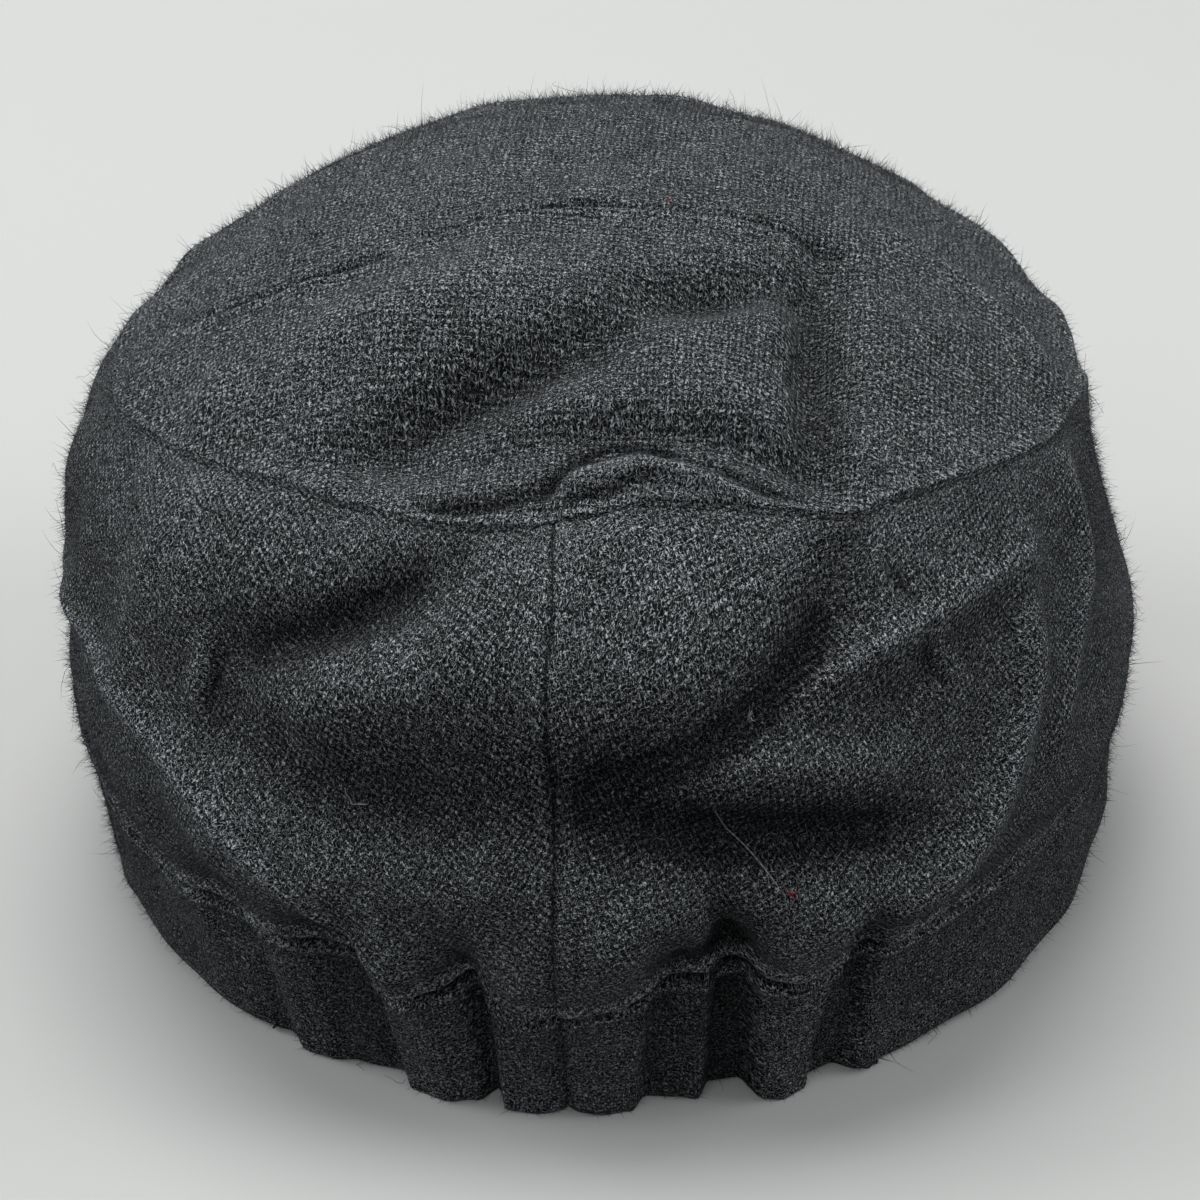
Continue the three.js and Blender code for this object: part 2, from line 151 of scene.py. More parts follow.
# Finer creases of the top: the pressed line across it, and the pucker above the back seam
TOP_CREASES = [
    Fold("pressed line left", (70, 6), (54, 11), (36, 8), -1.3, 0.9),
    Fold("pressed line lip", (70, 8), (54, 13), (36, 10), 0.7, 1.3),
    Fold("pressed line right", (31, 5), (4, -5), (-40, -1), -1.3, 0.9),
    Fold("pressed line right lip", (31, 7), (4, -3), (-40, 1), 0.7, 1.3),
    Fold("pucker left", (33, 55), (18, 58), (5, 55), -1.4, 1.3),
    Fold("pucker middle", (6, 55), (-2, 48), (-13, 50.5), -2.0, 1.4),
    Fold("pucker right", (-12, 50.5), (-24, 54), (-38, 52), -1.6, 1.3),
    Fold("pucker roll left", (30, 58), (16, 60), (4, 58), 0.9, 1.6),
    Fold("pucker roll right", (2, 54), (-10, 53), (-30, 55), 1.5, 1.7),
    Fold("pucker second line", (12, 58), (0, 58), (-14, 55), -1.1, 1.0),
    Fold("right rim crest", (-48, -12), (-70, -8), (-77, 10), 0.5, 1.6),
]

# Gathers of the elastic back: the same place of the profile at the top of the band and at the
# rim, and how far the cloth stands out there: top angle, rim angle, rise
GATHERS = np.array([
    [-44.0, -41.0, 0.0], [-38.0, -35.0, -0.6], [-35.0, -32.0, -1.0], [-32.0, -29.0, 1.4],
    [-28.0, -26.0, 0.6], [-25.0, -23.0, -1.6], [-20.5, -18.0, -2.2], [-18.5, -15.6, 1.8],
    [-15.0, -12.0, 3.0], [-11.0, -9.0, 1.0], [-8.5, -7.2, -3.0], [-6.5, -5.8, 2.6],
    [-3.5, -3.0, 3.4], [0.0, 0.0, 2.2], [4.0, 3.0, 3.2], [8.0, 6.0, 2.0],
    [10.5, 7.6, -2.2], [13.0, 11.0, -1.6], [14.5, 12.8, -0.6], [16.5, 14.8, -4.6],
    [18.6, 18.0, -4.6], [20.0, 19.6, 2.0], [24.0, 21.5, 3.0], [28.5, 24.0, 1.6],
    [30.0, 25.5, -1.8], [32.0, 28.5, -2.4], [34.0, 31.0, 1.0], [38.0, 35.0, 0.4],
    [44.0, 42.0, 0.0],
])
GATHER_FADE = 0.34
GATHER_DEPTH = 1.5
GATHER_SOFTNESS = 1.6

# How far the band's seam sags below its level where the crown bags over it: angle, drop
BAND_SEAM_DROPS = np.array([
    [-90.0, 0.0], [-60.0, 2.5], [-46.0, 3.6], [-38.0, 1.5], [-30.0, 0.0], [-21.0, 0.6],
    [-16.0, 4.6], [-12.0, 2.8], [-8.0, 0.0], [-5.0, 2.6], [-2.0, 4.6], [1.0, 3.8],
    [5.0, 2.0], [9.0, 0.2], [18.0, 0.0], [23.0, 1.4], [28.0, 0.8], [34.0, 0.0],
])

# How far the top seam strays from its level, up onto the top or down the wall: angle, stray
TOP_SEAM_STRAYS = np.array([
    [-80.0, 0.0], [-36.0, 0.0], [-26.0, -1.5], [-13.0, -3.0], [-5.0, -2.2], [2.0, 0.0],
    [9.0, 2.5], [17.0, 2.0], [24.0, 0.6], [32.0, -1.4], [40.0, 0.8], [50.0, 1.9],
    [70.0, 2.0], [80.0, 3.2], [95.0, 1.0], [110.0, 0.0],
])
TOP_SEAM_WAY = (0.6, 0.8)
CENTRE_SEAM_SWAY = 2.2
CENTRE_SEAM_REACH = 12.0

# The cloth beside a seam: it sinks into a groove and stands up in a small roll next to it
SeamSide = namedtuple("SeamSide", "groove groove_place groove_width roll roll_place roll_width")
TOP_SEAM_ON_TOP = SeamSide(0.0, 0.0, 0.5, 0.6, 0.6, 1.3)
TOP_SEAM_ON_WALL = SeamSide(0.3, 1.1, 0.5, 0.35, 0.0, 0.7)
BAND_SEAM_ON_WALL = SeamSide(1.8, 0.0, 1.2, 2.1, 3.4, 2.1)
BAND_SEAM_ON_BAND = SeamSide(1.9, 0.8, 1.4, 1.5, 3.7, 1.3)
PANEL_SEAM = SeamSide(0.5, 0.0, 0.5, 0.2, 1.9, 1.1)
BAND_JOIN = SeamSide(1.0, 0.0, 0.65, 0.2, 2.0, 1.0)
RIM_ROUNDING = 0.8

# How strong the seams' grooves and rolls are at each angle: the top seam fades where the cap is
# pressed at its left, and the band's seam away from the gathers
TOP_SEAM_STRENGTH = np.array([[-75.0, 0.35], [-50.0, 0.6], [-30.0, 1.0], [80.0, 1.0], [110.0, 0.7]])
BAND_SEAM_STRENGTH = np.array([[30.0, 1.0], [62.0, 0.5]])

# Wear and painted shade of the nap: darker in grooves and hollows as painted shade, paler on
# crests partly from rubbing and partly as painted light. The relief that makes it palest, the
# share of it that a fold's rise counts for, how much more a gather's does, and the relief that
# the painted shade keeping the wall darker than the top amounts to
WEAR_AND_SHADE_HEIGHT = 1.4
SWELL_WEAR_AND_SHADE = 0.12
GATHER_WEAR_AND_SHADE = 1.8
WALL_PAINTED_SHADE = 0.75

# Stitches of the top seam, sunk in the groove under its roll
STITCH_PITCH = 3.1
STITCH_LENGTH = 2.1
STITCH_DEPTH = 1.1
STITCH_RADIUS = 0.15

# Panels of the wall: their node, the angles of their two seams, the turn of their weave, and
# the coarsest step of their mesh
Panel = namedtuple("Panel", "node start end grain step")
PANELS = [
    Panel("back_panel_left", -SIDE_SEAM_ANGLE, 0, -29, 0.68),
    Panel("back_panel_right", 0, SIDE_SEAM_ANGLE, 23, 0.68),
    Panel("front_panel", SIDE_SEAM_ANGLE, 360 - SIDE_SEAM_ANGLE, 0, 0.9),
]

# Mesh steps beside a seam and how far they reach, in millimetres or in degrees, the steps of the
# band, and how many fine steps there are to one step of the inside
SEAM_STEP = 0.4
SEAM_REACH = 5.0
SEAM_STEP_DEGREES = 0.25
SEAM_REACH_DEGREES = 2.5
BAND_STEP = 0.8
BAND_SEAM_REACH = 4.0
BAND_COLUMNS = 880
INSIDE_STEP = 4

# The top's mesh: points at its edge, the radii at which a ring has half as many, the radius
# inside which its rings are evenly spaced, their step, and the edge points to one of the inside
TOP_COLUMNS = 896
TOP_HALVINGS = (0.56, 0.28, 0.14, 0.07, 0.035)
TOP_EDGE_RADIUS = 0.93
TOP_STEP = 0.009
TOP_INSIDE_STEP = 8

# Weave: pitch of the warp and weft in millimetres, the scale and detail of the waves in which
# threads and fibres stray, and how far, and how fine a fibre's stroke is
WARP_PITCH = 1.0
WEFT_PITCH = 1.2
THREAD_WAVES = (0.55, 2)
THREAD_WANDER = 0.6
FIBRE_WAVES = (2.1, 1)
FIBRE_CURL = 0.36
STROKE_SHARPNESS = 15.5
STROKES_ACROSS = 2.6
STROKES_ALONG = 1.35
# Colour of the dark gaps, and the pale colour that paints the fibres' glints
WOOL_DARK = (0.002, 0.0022, 0.0024)
WOOL_GLINT = (0.575, 0.615, 0.645)

# Fibres that stand on the cloth: shape of the spread of their lengths, range of how steeply they
# rise, radius, bends and curl
Fuzz = namedtuple("Fuzz", "shape standing radius steps curl")
NAP = Fuzz(3.2, (0.4, 1.4), 0.055, 1, 0)
HAIR = Fuzz(3.0, (0.2, 1.3), 0.045, 3, 1.0)
LINT = Fuzz(4.0, (0.1, 1.2), 0.07, 3, 0.9)

# How many there are on each cloth, and the scale of their lengths, or for curls their range
NAPS = [("top", 34000, 0.45), ("wall", 45000, 0.45), ("band", 16000, 0.4)]
HAIRS = [("top", 2200, 0.75), ("wall", 4000, 0.75), ("band", 1200, 0.6)]
CURLS = [("top", 90, (4, 11)), ("wall", 140, (4, 11)), ("band", 40, (3, 7))]
CURL_RADIUS = 0.05
ROOT_DEPTH = 0.08
LOWEST_FIBRE = 0.05
LOWEST_CURL = 0.1
LINT_FIBRES = 14
LINT_SCALE = 0.22

# A direction that hardly any tube runs along, from which the sides of tubes are counted
SIDEWAYS = np.array([0.31, 0.21, 0.93])

# Loose threads, each through its places on the wall or the band
PALE_THREAD_RADIUS = 0.11
DARK_THREAD_RADIUS = 0.2
PALE_THREADS = [
    [(16, 0.53), (17, 0.50), (18, 0.47), (20, 0.43), (22, 0.35)],
    [(32, 0.14), (33, 0.12), (35, 0.11), (38, 0.13)],
    [(-22, 0.52), (-21, 0.49), (-19, 0.50)],
]
DARK_THREADS = [
    [(30, 0.10), (31, 0.06), (33, 0.02), (33.5, 0.0)],
    [(-34, 0.14), (-33.5, 0.08), (-34.5, 0.0)],
]

# Lamps, in metres, that all shine on the middle of the cap
Lamp = namedtuple("Lamp", "name place size watts color")
LAMP_TARGET = (0, 0, 0.06)
LAMPS = [
    Lamp("overhead", (0.2, -0.32, 1.48), 1.1, 14, (1.0, 0.995, 0.985)),
    Lamp("left_window", (1.6, -0.15, 0.8), 0.9, 13, (0.97, 0.99, 1.0)),
    Lamp("right_fill", (-1.3, -0.1, 0.8), 0.9, 7, (0.97, 0.99, 1.0)),
    Lamp("back_fill", (0.3, 1.3, 1.2), 1.0, 3, (0.97, 0.99, 1.0)),
]
ROOM_LIGHT = 0.32
FLOOR_HALF = 3000.0
FLOOR_DROP = 0.05

# Camera of the photograph, round the settled cap
CAMERA_PLACE = (-39.67, 672.39, 435.32)
CAMERA_RAY = (0.05354, -0.85501, -0.51583)
CAMERA_UP = (0.0368, -0.4970, 0.8670)
CAMERA_LENS = 127.15
CAMERA_SENSOR = 36.0

random = np.random.default_rng(SEED)


# Shape of the cap

def power_of(value, squareness):
    return np.sign(value) * np.abs(value) ** (2 / squareness)


def smooth_step(value, start, end):
    part = np.clip((value - start) / (end - start), 0, 1)
    return part * part * (3 - 2 * part)


def unit(vectors):
    return vectors / np.maximum(np.linalg.norm(vectors, axis=-1, keepdims=True), 1e-9)


def along(direction, distance):
    """Vectors of those distances along those directions."""
    return direction * np.asarray(distance)[..., None]


def level_point(level, angle):
    """A point of a level at an angle: an oval whose two halves have their own lengths."""
    half_width, back, front, height_back, height_side, height_front, squareness, shift = level
    turn = np.radians(angle)
    sine = np.sin(turn)
    cosine = np.cos(turn)
    length = np.where(cosine > 0, back, front)
    middle = (height_back + height_front) / 2
    lean = (height_back - height_front) / 2
    x = shift - half_width * power_of(sine, squareness)
    y = length * power_of(cosine, squareness)
    z = height_side + lean * cosine + (middle - height_side) * cosine ** 2
    return np.stack([x, y, z], axis=-1)


def wall_level(height):
    """Catmull-Rom blend of the wall's levels, one smooth curve from band to top."""
    last = len(WALL_LEVELS) - 1
    place = np.clip(height, 0, 1) * last
    start = np.minimum(np.floor(place), last - 1).astype(int)
    part = np.asarray(place - start)[..., None]
    a, b, c, d = (WALL_LEVELS[np.clip(start + step, 0, last)] for step in (-1, 0, 1, 2))
    slope = c - a
    bend_out = 2 * a - 5 * b + 4 * c - d
    bend_in = 3 * b - a - 3 * c + d
    blended = (2 * b + slope * part + bend_out * part ** 2 + bend_in * part ** 3) / 2
    return np.moveaxis(blended, -1, 0)


def band_level(share):
    blended = RIM + (BAND_TOP - RIM) * np.asarray(share)[..., None]
    return np.moveaxis(blended, -1, 0)


def top_point(angle, radius):
    """The top swells over the plane of its seam, and takes up the seam's dip at the sides."""
    edge = level_point(TOP_SEAM, angle)
    _, back, front, height_back, _, height_front, _, shift = TOP_SEAM
    middle_y = (back - front) / 2
    half_length = (back + front) / 2
    middle_height = (height_back + height_front) / 2
    slope = (height_back - height_front) / 2 / half_length
    dip = edge[..., 2] - middle_height - slope * (edge[..., 1] - middle_y)
    x = shift + (edge[..., 0] - shift) * radius
    y = middle_y + (edge[..., 1] - middle_y) * radius
    rise = DOME_RISE * (1 - radius ** DOME_POWER)
    z = middle_height + slope * (y - middle_y) + dip * radius ** 2 + rise
    return np.stack([x, y, z], axis=-1)


def surface_normal(surface, angle, row, step):
    around = surface(angle + 0.5, row) - surface(angle - 0.5, row)
    upwards = surface(angle, row + step) - surface(angle, row - step)
    return unit(np.cross(around, upwards))


def wall_normal(angle, height):
    inside = np.clip(height, 0.01, 0.99)
    return surface_normal(lambda a, h: level_point(wall_level(h), a), angle, inside, 0.01)


def top_normal(angle, radius):
    inside = np.clip(radius, 0.05, 0.99)
    sloped = surface_normal(top_point, angle, inside, -0.01)
    level = np.clip((0.1 - radius) / 0.1, 0, 1)[..., None]
    return unit(sloped * (1 - level) + np.array([0, 0, 1]) * level)


def horizontal(points):
    return unit(points * np.array([1, 1, 0]))


def fold_rise(folds, across, up, across_length=1.0, up_length=1.0):
    """How far the folds push the cloth out at each place. A fold fades over its width and
    towards its ends."""
    t = np.linspace(0, 1, 13)
    weights = np.array([(1 - t) ** 2, 2 * t * (1 - t), t ** 2])
    place = np.stack([across.ravel() * across_length, up.ravel() * up_length], axis=-1)
    total = np.zeros(across.size)
    for fold in folds:
        corners = np.array([fold.start, fold.bend, fold.end]) * (across_length, up_length)
        curve = weights.T @ corners
        reach = 3 * fold.width
        inside = (place > curve.min(0) - reach) & (place < curve.max(0) + reach)
        near = np.flatnonzero(inside.all(axis=1))
        distance = np.full(len(near), np.inf)
        middle = np.zeros(len(near))
        for step in range(len(t) - 1):
            chord = curve[step + 1] - curve[step]
            offset = place[near] - curve[step]
            part = np.clip(offset @ chord / (chord @ chord), 0, 1)
            apart = np.linalg.norm(offset - part[:, None] * chord, axis=1)
            closer = apart < distance
            distance[closer] = apart[closer]
            middle[closer] = t[step] + (t[step + 1] - t[step]) * part[closer]
        end_fade = FOLD_END + (1 - FOLD_END) * np.sin(np.pi * middle)
        total[near] += fold.rise * end_fade * np.exp(-(distance / fold.width) ** 2)
    return total.reshape(across.shape)


def from_table(table, angle):
    """Smooth reading of a table of angle and value."""
    after = np.clip(np.searchsorted(table[:, 0], angle), 1, len(table) - 1)
    part = smooth_step(angle, table[after - 1, 0], table[after, 0])
    return table[after - 1, 1] + (table[after, 1] - table[after - 1, 1]) * part


def gather_profile():
    """The gathers at the rim as a sharp profile, and the softer one that the crown takes up."""
    angles = np.arange(-60, 60.01, 0.1)
    sharp = from_table(GATHERS[:, 1:], angles)
    spread = np.arange(-50, 51) * 0.1
    kernel = np.exp(-(spread / GATHER_SOFTNESS) ** 2)
    soft = np.convolve(sharp, kernel / kernel.sum(), mode="same")
    return angles, sharp, soft


GATHER_ANGLES, SHARP_GATHERS, SOFT_GATHERS = gather_profile()


def gather_rise(angle, share, softness):
    """How far the gathers push the cloth out, with share 0 at the rim and 1 at the band's top."""
    lean = np.interp(angle, GATHERS[:, 0], GATHERS[:, 0] - GATHERS[:, 1])
    at_rim = angle - lean * share
    sharp = np.interp(at_rim, GATHER_ANGLES, SHARP_GATHERS)
    soft = np.interp(at_rim, GATHER_ANGLES, SOFT_GATHERS)
    return sharp + (soft - sharp) * softness


def signed(angle):
    return (angle + 180) % 360 - 180


def stitch_wave(angle):
    """1 at the middle of a stitch of the top seam and 0 between two."""
    return 0.5 + 0.5 * np.cos(2 * np.pi * angle * DEGREE_LENGTH / STITCH_PITCH)


def seam_relief(distance, side):
    groove = side.groove * np.exp(-((distance - side.groove_place) / side.groove_width) ** 2)
    roll = side.roll * np.exp(-((distance - side.roll_place) / side.roll_width) ** 2)
    return roll - groove


def unevenness(points):
    """Small slow waves that keep the cloth from looking machined."""
    waves = np.random.default_rng(SEED).normal(size=(9, 4))
    total = np.zeros(points.shape[:-1])
    for number, wave in enumerate(waves):
        length = 6.0 + 2.5 * number
        direction = wave[:3] / np.linalg.norm(wave[:3])
        total += length * 0.009 * np.sin(points @ direction * 2 * np.pi / length + wave[3] * 7)
    return total


def seam_stray(angle, base):
    way = np.array([0, 0, TOP_SEAM_WAY[1]]) - horizontal(base) * TOP_SEAM_WAY[0]
    return along(way, from_table(TOP_SEAM_STRAYS, signed(angle)))


def wall_cloth(angle, height):
    """Middle form of the crown wall, its outward direction, the relief on its outside, and how
    far its folds swell, less the painted shade that keeps it darker than the top."""
    turned = signed(angle)
    near_back = np.exp(-(turned / CENTRE_SEAM_REACH) ** 2)
    swayed = turned - CENTRE_SEAM_SWAY * smooth_step(height, 0.8, 1) * near_back
    base = level_point(wall_level(height), swayed)
    normal = wall_normal(swayed, height)
    fade = 1 - smooth_step(height, 0, GATHER_FADE)
    deeper = 1 + GATHER_DEPTH * smooth_step(height, 0, GATHER_FADE / 2)
    gathered = gather_rise(turned, 1, smooth_step(height, 0, 0.08)) * fade * deeper
    hold = smooth_step(height, 0, 0.12) * (1 - smooth_step(height, 0.9, 1))
    folded = fold_rise(WALL_FOLDS, turned, height, DEGREE_LENGTH, WALL_HEIGHT) * hold
    form = base + along(horizontal(base), gathered) + along(normal, folded)
    form[..., 2] -= from_table(BAND_SEAM_DROPS, turned) * (1 - smooth_step(height, 0, 0.3))
    form += seam_stray(turned, base) * smooth_step(height, 0.7, 1)[..., None]
    relief = fold_rise(WALL_CREASES, turned, height, DEGREE_LENGTH, WALL_HEIGHT)
    strength = from_table(TOP_SEAM_STRENGTH, turned) * (0.45 + 0.55 * stitch_wave(turned))
    relief += seam_relief((1 - height) * WALL_HEIGHT, TOP_SEAM_ON_WALL) * strength
    strength = from_table(BAND_SEAM_STRENGTH, np.abs(turned))
    relief += seam_relief(height * WALL_HEIGHT, BAND_SEAM_ON_WALL) * strength
    for seam in (0, SIDE_SEAM_ANGLE):
        relief += seam_relief(np.abs(np.abs(turned) - seam) * DEGREE_LENGTH, PANEL_SEAM)
    # Painted shade: the wall is made darker than the top, fading out towards the top seam, and its folds
    # and gathers turn into painted shade in their hollows and paler crests
    painted_wall_shade = WALL_PAINTED_SHADE / SWELL_WEAR_AND_SHADE * (1 - smooth_step(height, 0.78, 1))
    return form, normal, relief, folded + gathered * GATHER_WEAR_AND_SHADE - painted_wall_shade


def top_cloth(angle, radius):
    base = top_point(angle, radius)
    normal = top_normal(angle, radius)
    folded = fold_rise(TOP_FOLDS, base[..., 0], base[..., 1]) * (1 - smooth_step(radius, 0.9, 1))
    seam = level_point(TOP_SEAM, angle)
    form = base + along(normal, folded)
    form += seam_stray(angle, seam) * smooth_step(radius, 0.75, 1)[..., None]
    crease = fold_rise(TOP_CREASES, base[..., 0], base[..., 1]) * (1 - smooth_step(radius, 0.98, 1))
    strength = from_table(TOP_SEAM_STRENGTH, signed(angle))
    from_seam = np.linalg.norm(seam - base, axis=-1)
    # The folds' swell goes into painted shade in their hollows and paler crests
    return form, normal, crease + seam_relief(from_seam, TOP_SEAM_ON_TOP) * strength, folded


def band_cloth(angle, share):
    turned = signed(angle)
    base = level_point(band_level(share), turned)
    normal = horizontal(base)
    gathered = gather_rise(turned, share, 0)
    form = base + along(normal, gathered)
    form[..., 2] -= from_table(BAND_SEAM_DROPS, turned) * smooth_step(share, 0.1, 1)
    relief = seam_relief((1 - share) * BAND_HEIGHT, BAND_SEAM_ON_BAND)
    relief *= from_table(BAND_SEAM_STRENGTH, np.abs(turned))
    relief += seam_relief(np.abs(turned) * DEGREE_LENGTH, BAND_JOIN)
    relief -= RIM_ROUNDING * np.exp(-(share * BAND_HEIGHT / RIM_ROUNDING) ** 2)
    # The gathers' swell goes into painted shade in their hollows and paler crests
    return form, normal, relief, gathered * GATHER_WEAR_AND_SHADE


def raised(cloth, across, up):
    """Places on the outside of a cloth, its outward direction, its wear and painted shade, and its
    middle form. That value goes from -1 in a groove or hollow, painted dark as shade, to 1 on a
    crest, made pale partly as rubbed wear and partly as painted light."""
    form, normal, relief, swell = cloth(across, up)
    outside = form + along(normal, relief + unevenness(form))
    return outside, normal, np.clip((relief + swell * SWELL_WEAR_AND_SHADE) / WEAR_AND_SHADE_HEIGHT, -1, 1), form


def seam_normal(angle):
    """Both cloths of the top seam are mitred on the direction halfway between them."""
    at_seam = np.ones_like(angle)
    return unit(wall_normal(signed(angle), at_seam) + top_normal(angle, at_seam))


def settle(points):
    """Lays the cap down: it leans back about its rim, sags a little, and flattens softly."""
    pivot = RIM[1]
    reach = points[..., 1] - pivot
    y = pivot + reach * math.cos(REST_TILT) + points[..., 2] * math.sin(REST_TILT)
    z = points[..., 2] * math.cos(REST_TILT) - reach * math.sin(REST_TILT) - REST_SAG
    z = (z + np.hypot(z, REST_SOFTNESS)) / 2
    return np.stack([points[..., 0], y, z], axis=-1) + MIDDLE_SHIFT


# Meshes

def graded_steps(start, end, fine, coarse, reach):
    """Steps that are fine within reach of both ends and coarse between them."""
    near = int(round(reach / fine))
    far = int(round((end - start - 2 * reach) / coarse))
    return np.concatenate([
        np.linspace(start, start + reach, near + 1)[:-1],
        np.linspace(start + reach, end - reach, far + 1)[:-1],
        np.linspace(end - reach, end, near + 1),
    ])


def every(count, step):
    """Every step-th place of a row, and its last one."""
    return np.unique(np.append(np.arange(0, count, step), count - 1))


def new_object(name, points, polygons):
    """A mesh object from points in millimetres and arrays of polygons, one array for each size."""
    mesh = bpy.data.meshes.new(name)
    mesh.vertices.add(len(points))
    mesh.vertices.foreach_set("co", (points * MM).ravel())
    polygons = [np.asarray(group) for group in polygons if len(group)]
    sizes = np.concatenate([np.full(len(group), group.shape[1]) for group in polygons])
    mesh.loops.add(int(sizes.sum()))
    mesh.loops.foreach_set("vertex_index", np.concatenate([group.ravel() for group in polygons]))
    mesh.polygons.add(len(sizes))
    mesh.polygons.foreach_set("loop_start", np.concatenate([[0], np.cumsum(sizes)[:-1]]))
    mesh.polygons.foreach_set("use_smooth", np.ones(len(sizes), bool))
    mesh.update(calc_edges=True)
    mesh.validate()
    made = bpy.data.objects.new(name, mesh)
    bpy.context.scene.collection.objects.link(made)
    return made


def give_attribute(piece, name, kind, values):
    """A value of each point: one number, or a vector of three."""
    layer = piece.data.attributes.new(name, kind, "POINT")
    key = "vector" if kind == "FLOAT_VECTOR" else "value"
    layer.data.foreach_set(key, np.ascontiguousarray(values).ravel())


def dress(piece, material):
    piece.data.materials.append(material)
    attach(piece, "root")


def grid_quads(index):
    """Quads between neighbours in a grid of point numbers, or in each of many grids."""
    here = index[..., :-1, :-1]
    corners = [here, index[..., :-1, 1:], index[..., 1:, 1:], index[..., 1:, :-1]]
    return np.stack(corners, axis=-1).reshape(-1, 4)


def close_edge(fine, kept, coarse):
    """Triangles between a fine edge and a coarse one whose points lie at the kept places."""
    triangles = []
    for place in range(len(coarse) - 1):
        for step in range(kept[place], kept[place + 1]):
            triangles.append((fine[step + 1], fine[step], coarse[place]))
        triangles.append((fine[kept[place + 1]], coarse[place], coarse[place + 1]))
    return triangles


def cloth_shell(name, outside, inside, rows_kept, columns_kept, goes_round):
    """A closed wall: a fine outside and an inside that has only the kept rows and columns."""
    rows, columns = outside.shape[:2]
    out = np.arange(rows * columns).reshape(rows, columns)
    inn = rows * columns + np.arange(len(rows_kept) * len(columns_kept)).reshape(len(rows_kept), -1)
    points = np.concatenate([outside.reshape(-1, 3), inside.reshape(-1, 3)])
    if goes_round:
        out = np.column_stack([out, out[:, 0]])
        inn = np.column_stack([inn, inn[:, 0]])
        columns_kept = np.append(columns_kept, columns)
    columns_back = out.shape[1] - 1 - columns_kept[::-1]
    rows_back = rows - 1 - rows_kept[::-1]
    edges = close_edge(out[0], columns_kept, inn[0])
    edges += close_edge(out[-1, ::-1], columns_back, inn[-1, ::-1])
    if not goes_round:
        edges += close_edge(out[:, -1], rows_kept, inn[:, -1])
        edges += close_edge(out[::-1, 0], rows_back, inn[::-1, 0])
    return new_object(name, points, [grid_quads(out), grid_quads(inn)[:, ::-1], edges])


def arc_lengths(angles):
    """Distance round the wall from the centre back to each angle."""
    table = np.arange(-180, 180.1, 1.0)
    ring = level_point(wall_level(np.full(table.shape, 0.5)), table)
    steps = np.linalg.norm(np.diff(ring, axis=0), axis=1)
    lengths = np.concatenate([[0], np.cumsum(steps)])
    lengths -= np.interp(0, table, lengths)
    whole = lengths[-1] - lengths[0]
    turns = np.floor((angles + 180) / 360)
    return np.interp(angles - 360 * turns, table, lengths) + whole * turns


def cloth_places(across, up, grain):
    """Places in the cloth along its two sets of threads, which are turned by the grain's angle."""
    turn = math.radians(grain)
    weft = across * math.cos(turn) + up * math.sin(turn)
    warp = up * math.cos(turn) - across * math.sin(turn)
    return np.stack([weft, warp, np.zeros_like(weft)], axis=-1)


def finish_cloth(piece, node, outer_places, inner_places, wear_and_shade, material):
    """Gives a cloth its places for the weave and its wear and painted shade, and lets it stand for its
    node.
    """
    places = np.concatenate([outer_places.reshape(-1, 3), inner_places.reshape(-1, 3)])
    wear_and_shade = np.append(wear_and_shade.ravel(), np.zeros(len(places) - wear_and_shade.size))
    give_attribute(piece, "cloth", "FLOAT_VECTOR", places)
    give_attribute(piece, "wear_and_shade", "FLOAT", wear_and_shade)
    dress(piece, material)
    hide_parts(node)


def lay_cloth(node, laid, places, thickness, goes_round, material):
    """A cloth from what raised says of a grid, and the grid's places in the cloth."""
    outside, normal, wear_and_shade, form = laid
    rows, columns = wear_and_shade.shape
    rows_kept = every(rows, INSIDE_STEP)
    columns_kept = every(columns, INSIDE_STEP)
    if goes_round:
        columns_kept = columns_kept[:-1]
    kept = np.ix_(rows_kept, columns_kept)
    inside = settle(form[kept] - normal[kept] * thickness)
    name = node + "_cloth"
    piece = cloth_shell(name, settle(outside), inside, rows_kept, columns_kept, goes_round)
    finish_cloth(piece, node, places, places[kept], wear_and_shade, material)


def wall_panel(panel, material):
    gap_angle = SEAM_GAP / 2 / DEGREE_LENGTH
    gap_height = SEAM_GAP / 2 / WALL_HEIGHT
    ends = panel.start + gap_angle, panel.end - gap_angle
    coarse = panel.step / DEGREE_LENGTH
    angles = graded_steps(*ends, SEAM_STEP_DEGREES, coarse, SEAM_REACH_DEGREES)
    steps = np.array([SEAM_STEP, panel.step, SEAM_REACH]) / WALL_HEIGHT
    rows = graded_steps(gap_height, 1 - gap_height, *steps)
    angle, height = np.meshgrid(angles, rows)
    laid = raised(wall_cloth, angle, height)
    outside, normal, _, form = laid
    mitre = seam_normal(angles)
    outside[-1] += along(mitre - normal[-1], np.linalg.norm(outside[-1] - form[-1], axis=-1))
    normal[-1] = mitre
    places = cloth_places(arc_lengths(angle), height * WALL_HEIGHT, panel.grain)
    lay_cloth(panel.node, laid, places, CLOTH_THICKNESS, False, material)


def band(material):
    angles = np.arange(BAND_COLUMNS) * 360 / BAND_COLUMNS
    top_share = 1 - SEAM_GAP / BAND_HEIGHT
    steps = np.array([SEAM_STEP, BAND_STEP, BAND_SEAM_REACH]) / BAND_HEIGHT
    shares = graded_steps(0, top_share, *steps)
    angle, share = np.meshgrid(angles, shares)
    places = cloth_places(arc_lengths(signed(angle)), share * BAND_HEIGHT, 0)
    laid = raised(band_cloth, angle, share)
    lay_cloth("band", laid, places, BAND_THICKNESS, True, material)


